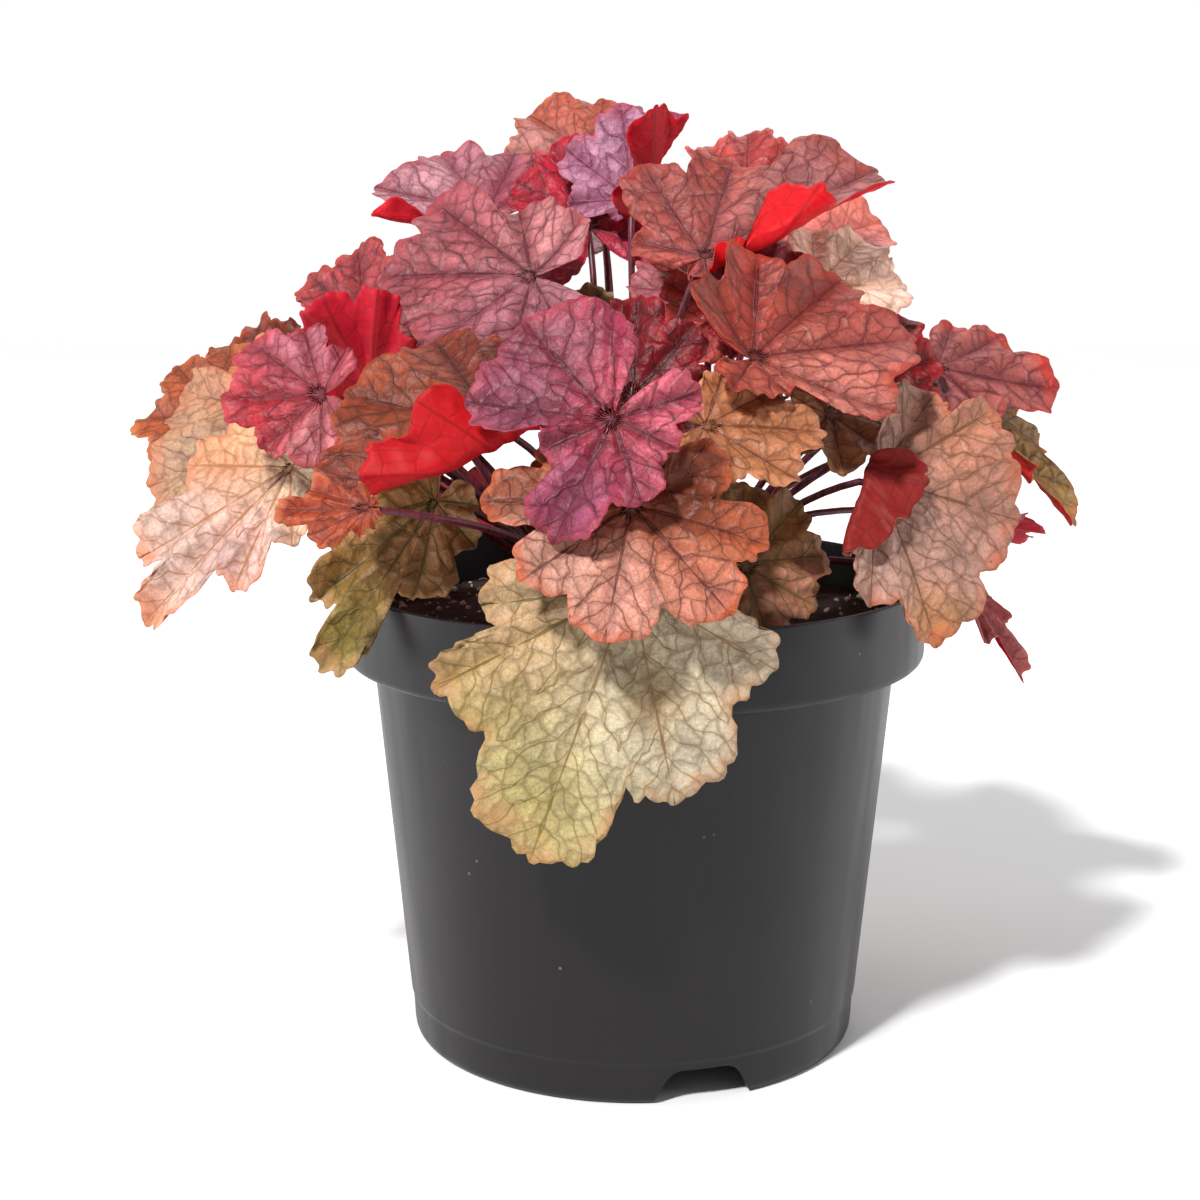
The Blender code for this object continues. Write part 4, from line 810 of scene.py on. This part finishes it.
def build_leaf(index, spec, foot):
    """Blade, rim and petiole as one mesh, with the layout and colours as attributes of its points.

    Each leaf's layout lies a step beside the last, so that no two leaves share a pattern.
    """
    _, _, length, bearings, reaches = plan_of(spec, index)
    columns, rings = blade_grid(length)
    bearing = np.concatenate([[0], np.tile(columns, len(rings))])
    share = np.concatenate([[0], np.repeat(rings, len(columns))])
    middle, layout = blade_points(spec, index, bearing, share, len(columns))
    grid = middle[1:].reshape(len(rings), len(columns), 3)
    normal = np.cross(np.gradient(grid, axis=1), np.gradient(grid, axis=0))
    normal /= np.linalg.norm(normal, axis=2)[..., None] + 1e-12
    normal = np.concatenate([[unit(normal[0].mean(axis=0))], normal.reshape(-1, 3)])
    half = (BLADE_MIDDLE + (BLADE_EDGE - BLADE_MIDDLE) * share)[:, None] / 2
    count = len(middle)
    index_grid = 1 + np.arange(count - 1).reshape(len(rings), len(columns))
    inner, outer = index_grid[:-1], index_grid[1:]
    bands = np.stack([inner[:, :-1], outer[:, :-1], outer[:, 1:], inner[:, 1:]], axis=-1).reshape(-1, 4)
    fan = np.stack([index_grid[0, :-1], index_grid[0, 1:], np.zeros(len(columns) - 1, int)], axis=1)
    rim = np.concatenate([[0], index_grid[:, 0], index_grid[-1, 1:], index_grid[-2::-1, -1]])
    after = np.roll(rim, -1)
    edge = np.stack([rim, rim + count, after + count, after], axis=1)
    path = petiole_path(spec, index, foot)
    radii = np.linspace(PETIOLE_FOOT, PETIOLE_TOP, len(path))
    stalk, stalk_quads = tube(path, radii, 12)
    parts = [bands, bands[:, ::-1] + count, fan[:, ::-1], fan + count, edge, stalk_quads + 2 * count]
    points = np.concatenate([middle + normal * half, middle - normal * half, stalk])
    faces = [face for part in parts for face in part.tolist()]
    skins = [leaf_top, leaf_under, petiole_skin]
    piece = new_piece(f"leaf_blade_{index + 1:02d}", points, faces, skins)
    slots = np.repeat([0, 1, 0, 1, 0, 2], [len(part) for part in parts])
    piece.data.polygons.foreach_set("material_index", slots)

    look = dict(zip(TRAITS, LOOKS[spec["colour"]])) | spec
    look |= dict(zip(TRAITS, spec.get("skin", "").split()))
    rest = np.zeros((len(stalk), 4))
    places = np.concatenate([layout, layout, rest]) * length
    shares = np.concatenate([share, share, rest[:, 0]])
    flat = np.stack([places[:, 0] + LAYOUT_STEP * index, places[:, 1], shares], axis=1)
    rib = np.stack([places[:, 2], places[:, 3], np.zeros(len(points))], axis=1)
    traits = np.tile([look["veil"], look["net"], 0], (len(points), 1))
    for name, values in (("flat", flat), ("rib", rib), ("traits", traits)):
        one = piece.data.attributes.new(name, "FLOAT_VECTOR", "POINT")
        one.data.foreach_set("vector", values.ravel())
    for name, patches in (("pale", "patches"), ("dark", "vein_patches"), ("edge", ""), ("under", "")):
        blade = paint(look[name], spec.get(patches, ()), layout, bearings, reaches)
        values = np.concatenate([blade, blade, np.tile(linear(look[name]), (len(stalk), 1))])
        one = piece.data.attributes.new(name, "FLOAT_COLOR", "POINT")
        one.data.foreach_set("color", values.ravel())
    piece.data.update()
    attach(piece, "root")
    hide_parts(f"leaf_{index + 1:02d}")


# Upper skin: a waxy, satin leaf. Pale cells, about 6 mm across, lie between a net of darker veins; the
# ribs and their side veins are darker still and spread a wash beside them, and the edge is warmer. The
# layout is in millimetres, so a scale of 1 / 6.2 draws cells of 6.2 mm.
# Light and shade are partly painted into the upper skin: lighter cell domes, darker hollows towards the net,
# and lighter and darker blotches
leaf_top, tree, shader = new_material("heuchera leaf upper skin")
flat, rib, traits = (add(tree, "Attribute", {}, "Vector", attribute_name=one)
                     for one in ("flat", "rib", "traits"))
pale, dark, edge = (add(tree, "Attribute", {}, "Color", attribute_name=one)
                    for one in ("pale", "dark", "edge"))
share = add(tree, "SeparateXYZ", {0: flat}, "Z")
along = add(tree, "SeparateXYZ", {0: rib}, "X")
across = add(tree, "SeparateXYZ", {0: rib}, "Y")
veil_amount = add(tree, "SeparateXYZ", {0: traits}, "X")
net_amount = add(tree, "SeparateXYZ", {0: traits}, "Y")
smooth = dict(interpolation_type="SMOOTHSTEP")
to_edge = dict(voronoi_dimensions="2D", feature="DISTANCE_TO_EDGE")

# Wobble of up to 1.5 mm that keeps the veins from running ruler-straight
plane = add(tree, "VectorMath MULTIPLY", {0: flat, 1: (1, 1, 0)})
wobble = add(tree, "TexNoise", {"Vector": plane, "Scale": 0.22, "Detail": 2.0}, "Color")
wobble = add(tree, "VectorMath SUBTRACT", {0: wobble, 1: (0.5, 0.5, 0.5)})
warped = add(tree, "VectorMath MULTIPLY_ADD", {0: wobble, 1: (3.0, 3.0, 0), 2: plane})
sway = add(tree, "TexNoise", {"Vector": plane, "Scale": 0.09, "Detail": 2.0})
sway = add(tree, "Math SUBTRACT", {0: sway, 1: 0.5})
net = add(tree, "TexVoronoi", {"Vector": warped, "Scale": 1 / 6.2}, "Distance", **to_edge)
fine_net = add(tree, "TexVoronoi", {"Vector": warped, "Scale": 1 / 2.5}, "Distance", **to_edge)
cell = add(tree, "TexVoronoi", {"Vector": warped, "Scale": 1 / 2.5}, "Color", voronoi_dimensions="2D")
wash = add(tree, "TexNoise", {"Vector": plane, "Scale": 0.06, "Detail": 5.0, "Roughness": 0.62})
fleck = add(tree, "TexNoise", {"Vector": plane, "Scale": 0.9, "Detail": 5.0, "Roughness": 0.65})

# Side veins leave the rib at about 40 degrees, every 10 mm; the rib thins from 0.9 to 0.5 mm
vein = add(tree, "Math MULTIPLY_ADD", {0: across, 1: -1.15, 2: along})
vein = add(tree, "Math MULTIPLY_ADD", {0: sway, 1: 14.0, 2: vein})
vein = add(tree, "Math PINGPONG", {0: vein, 1: 5.0})
rib_width = add(tree, "MapRange", {0: share, 3: 0.46, 4: 0.24})
bend_in = add(tree, "Math MULTIPLY_ADD", {0: sway, 1: 2.5, 2: across})
bend_in = add(tree, "Math ABSOLUTE", {0: bend_in})
from_rib = add(tree, "Math DIVIDE", {0: bend_in, 1: rib_width})
rib_line = add(tree, "MapRange", {0: from_rib, 1: 0.5, 2: 1.6, 3: 1.0, 4: 0.0}, **smooth)
side_line = add(tree, "MapRange", {0: vein, 1: 0.12, 2: 0.6, 3: 1.0, 4: 0.0}, **smooth)
net_line = add(tree, "MapRange", {0: net, 1: 0.01, 2: 0.045, 3: 1.0, 4: 0.0}, **smooth)
fine_line = add(tree, "MapRange", {0: fine_net, 1: 0.02, 2: 0.11, 3: 1.0, 4: 0.0})

# Wash beside ribs and side veins, ragged by noise, and round the foot of the blade
rib_wash = add(tree, "MapRange", {0: bend_in, 1: 0.3, 2: 5.0, 3: 1.0, 4: 0.0}, **smooth)
side_wash = add(tree, "MapRange", {0: vein, 2: 2.6, 3: 0.75, 4: 0.0}, **smooth)
heart = add(tree, "MapRange", {0: share, 1: 0.05, 2: 0.35, 3: 0.7, 4: 0.0}, **smooth)
veil = add(tree, "Math MAXIMUM", {0: rib_wash, 1: side_wash})
veil = add(tree, "Math MAXIMUM", {0: veil, 1: heart})
ragged = add(tree, "MapRange", {0: wash, 1: 0.3, 2: 0.7, 3: 0.35, 4: 1.25})
veil = add(tree, "Math MULTIPLY", {0: veil, 1: ragged})
veil = add(tree, "Math MULTIPLY", {0: veil, 1: veil_amount}, use_clamp=True)

# Colour: pale cells of slightly different lightness, the wash, the net, the veins, then the edge
# Painted light and shade are mixed into this colour, on the cells' domes and in blotches over the leaf
cell_tone_and_painted_shade = add(tree, "SeparateColor", {0: cell})
cell_tone_and_painted_shade = add(tree, "MapRange", {0: cell_tone_and_painted_shade, 3: 0.93, 4: 1.05})
# Painted shade and highlight: each cell darkens towards the sunken net and lightens on its dome
middle = add(tree, "MapRange", {0: net, 2: 0.22, 3: 0.78, 4: 1.08}, **smooth)
cell_tone_and_painted_shade = add(tree, "Math MULTIPLY", {0: cell_tone_and_painted_shade, 1: middle})
# Fine and broad blotches, lighter and darker: partly the skin's own mottling, partly painted light and shade
fleck_mottle_and_painted_light = add(tree, "MapRange", {0: fleck, 1: 0.3, 2: 0.7, 3: 0.74, 4: 1.26})
broad_mottle_and_painted_light = add(tree, "MapRange", {0: wash, 1: 0.3, 2: 0.7, 3: 0.6, 4: 1.4})
light = add(tree, "Math MULTIPLY", {0: cell_tone_and_painted_shade, 1: fleck_mottle_and_painted_light})
light = add(tree, "Math MULTIPLY", {0: light, 1: broad_mottle_and_painted_light})
tone = add(tree, "VectorMath SCALE", {0: pale, 3: light})
tone = add(tree, "Mix", {0: veil, 6: tone, 7: dark}, 2, data_type="RGBA")
lines = add(tree, "Math MULTIPLY", {0: net_line, 1: net_amount})
fine = add(tree, "Math MULTIPLY", {0: fine_line, 1: 0.2})
lines = add(tree, "Math MAXIMUM", {0: lines, 1: fine})
tone = add(tree, "Mix", {0: lines, 6: tone, 7: dark}, 2, data_type="RGBA")
side_line_soft = add(tree, "Math MULTIPLY", {0: side_line, 1: 0.7})
lines = add(tree, "Math MAXIMUM", {0: rib_line, 1: side_line_soft})
lines = add(tree, "Math MULTIPLY", {0: lines, 1: 0.85})
deep = add(tree, "VectorMath SCALE", {0: dark, 3: 0.8})
tone = add(tree, "Mix", {0: lines, 6: tone, 7: deep}, 2, data_type="RGBA")
near_edge = add(tree, "Math MULTIPLY_ADD", {0: fleck, 1: 0.12, 2: share})
near_edge = add(tree, "Math MULTIPLY_ADD", {0: wash, 1: 0.7, 2: near_edge})
near_edge = add(tree, "MapRange", {0: near_edge, 1: 1.28, 2: 1.5, 4: 0.8}, **smooth)
tone = add(tree, "Mix", {0: near_edge, 6: tone, 7: edge}, 2, data_type="RGBA")

# Relief: cells swell between sunken veins, under the fine pebbling of the skin
dome = add(tree, "MapRange", {0: net, 2: 0.3, 4: 0.9}, **smooth)
sunk = add(tree, "Math MULTIPLY_ADD", {0: lines, 1: -0.8, 2: dome})
sunk = add(tree, "Math MULTIPLY_ADD", {0: fine_line, 1: -0.15, 2: sunk})
sunk = add(tree, "Math MULTIPLY_ADD", {0: fleck, 1: 0.3, 2: sunk})
bump = add(tree, "Bump", {"Height": sunk, "Strength": 0.5, "Distance": 0.0008})
gloss = add(tree, "MapRange", {0: fleck, 1: 0.3, 2: 0.7, 3: 0.4, 4: 0.54})
fill(tree, shader, {"Base Color": tone, "Roughness": gloss, "Normal": bump})
fill(tree, shader, {"IOR": 1.42, "Specular IOR Level": 0.45})

# Under skin: matt and strongly coloured, with darker ribs and veins that stand a little proud
# Its strong colour is partly the skin's own red and partly a painted glow of light shining through the leaf
leaf_under, tree, shader = new_material("heuchera leaf under skin")
flat = add(tree, "Attribute", {}, "Vector", attribute_name="flat")
rib = add(tree, "Attribute", {}, "Vector", attribute_name="rib")
under = add(tree, "Attribute", {}, "Color", attribute_name="under")
across = add(tree, "SeparateXYZ", {0: rib}, "Y")
plane = add(tree, "VectorMath MULTIPLY", {0: flat, 1: (1, 1, 0)})
fleck = add(tree, "TexNoise", {"Vector": plane, "Scale": 0.5, "Detail": 5.0, "Roughness": 0.6})
net = add(tree, "TexVoronoi", {"Vector": plane, "Scale": 1 / 7}, "Distance", **to_edge)
net_line = add(tree, "MapRange", {0: net, 1: 0.015, 2: 0.07, 3: 0.3, 4: 0.0})
rib_line = add(tree, "MapRange", {0: across, 1: 0.25, 2: 0.8, 3: 0.6, 4: 0.0}, **smooth)
lines = add(tree, "Math MAXIMUM", {0: net_line, 1: rib_line})
light = add(tree, "MapRange", {0: fleck, 1: 0.3, 2: 0.7, 3: 0.8, 4: 1.12})
tone = add(tree, "VectorMath SCALE", {0: under, 3: light})
deep = add(tree, "VectorMath SCALE", {0: under, 3: 0.45})
tone = add(tree, "Mix", {0: lines, 6: tone, 7: deep}, 2, data_type="RGBA")
bump = add(tree, "Bump", {"Height": lines, "Strength": 0.3, "Distance": 0.0006})
fill(tree, shader, {"Base Color": tone, "Roughness": 0.55, "Normal": bump})
fill(tree, shader, {"IOR": 1.42, "Specular IOR Level": 0.25})

# Petiole skin: maroon and slightly glossy, lighter in patches, finely ribbed along its length
petiole_skin, tree, shader = new_material("heuchera petiole skin")
place = add(tree, "TexCoord", {}, "Object")
stretched = add(tree, "Mapping", {0: place, "Scale": (900, 900, 60)})
streak = add(tree, "TexNoise", {"Vector": stretched, "Scale": 1.0, "Detail": 4.0})
tone = add(tree, "MapRange", {0: streak, 1: 0.35, 2: 0.7})
tone = add(tree, "Mix", {0: tone, 6: linear("#430d1c"), 7: linear("#7d2a38")}, 2, data_type="RGBA")
bump = add(tree, "Bump", {"Height": streak, "Strength": 0.3, "Distance": 0.0003})
fill(tree, shader, {"Base Color": tone, "Roughness": 0.42, "Normal": bump})

for index, (spec, foot) in enumerate(zip(LEAVES, foot_places())):
    build_leaf(index, spec, foot)
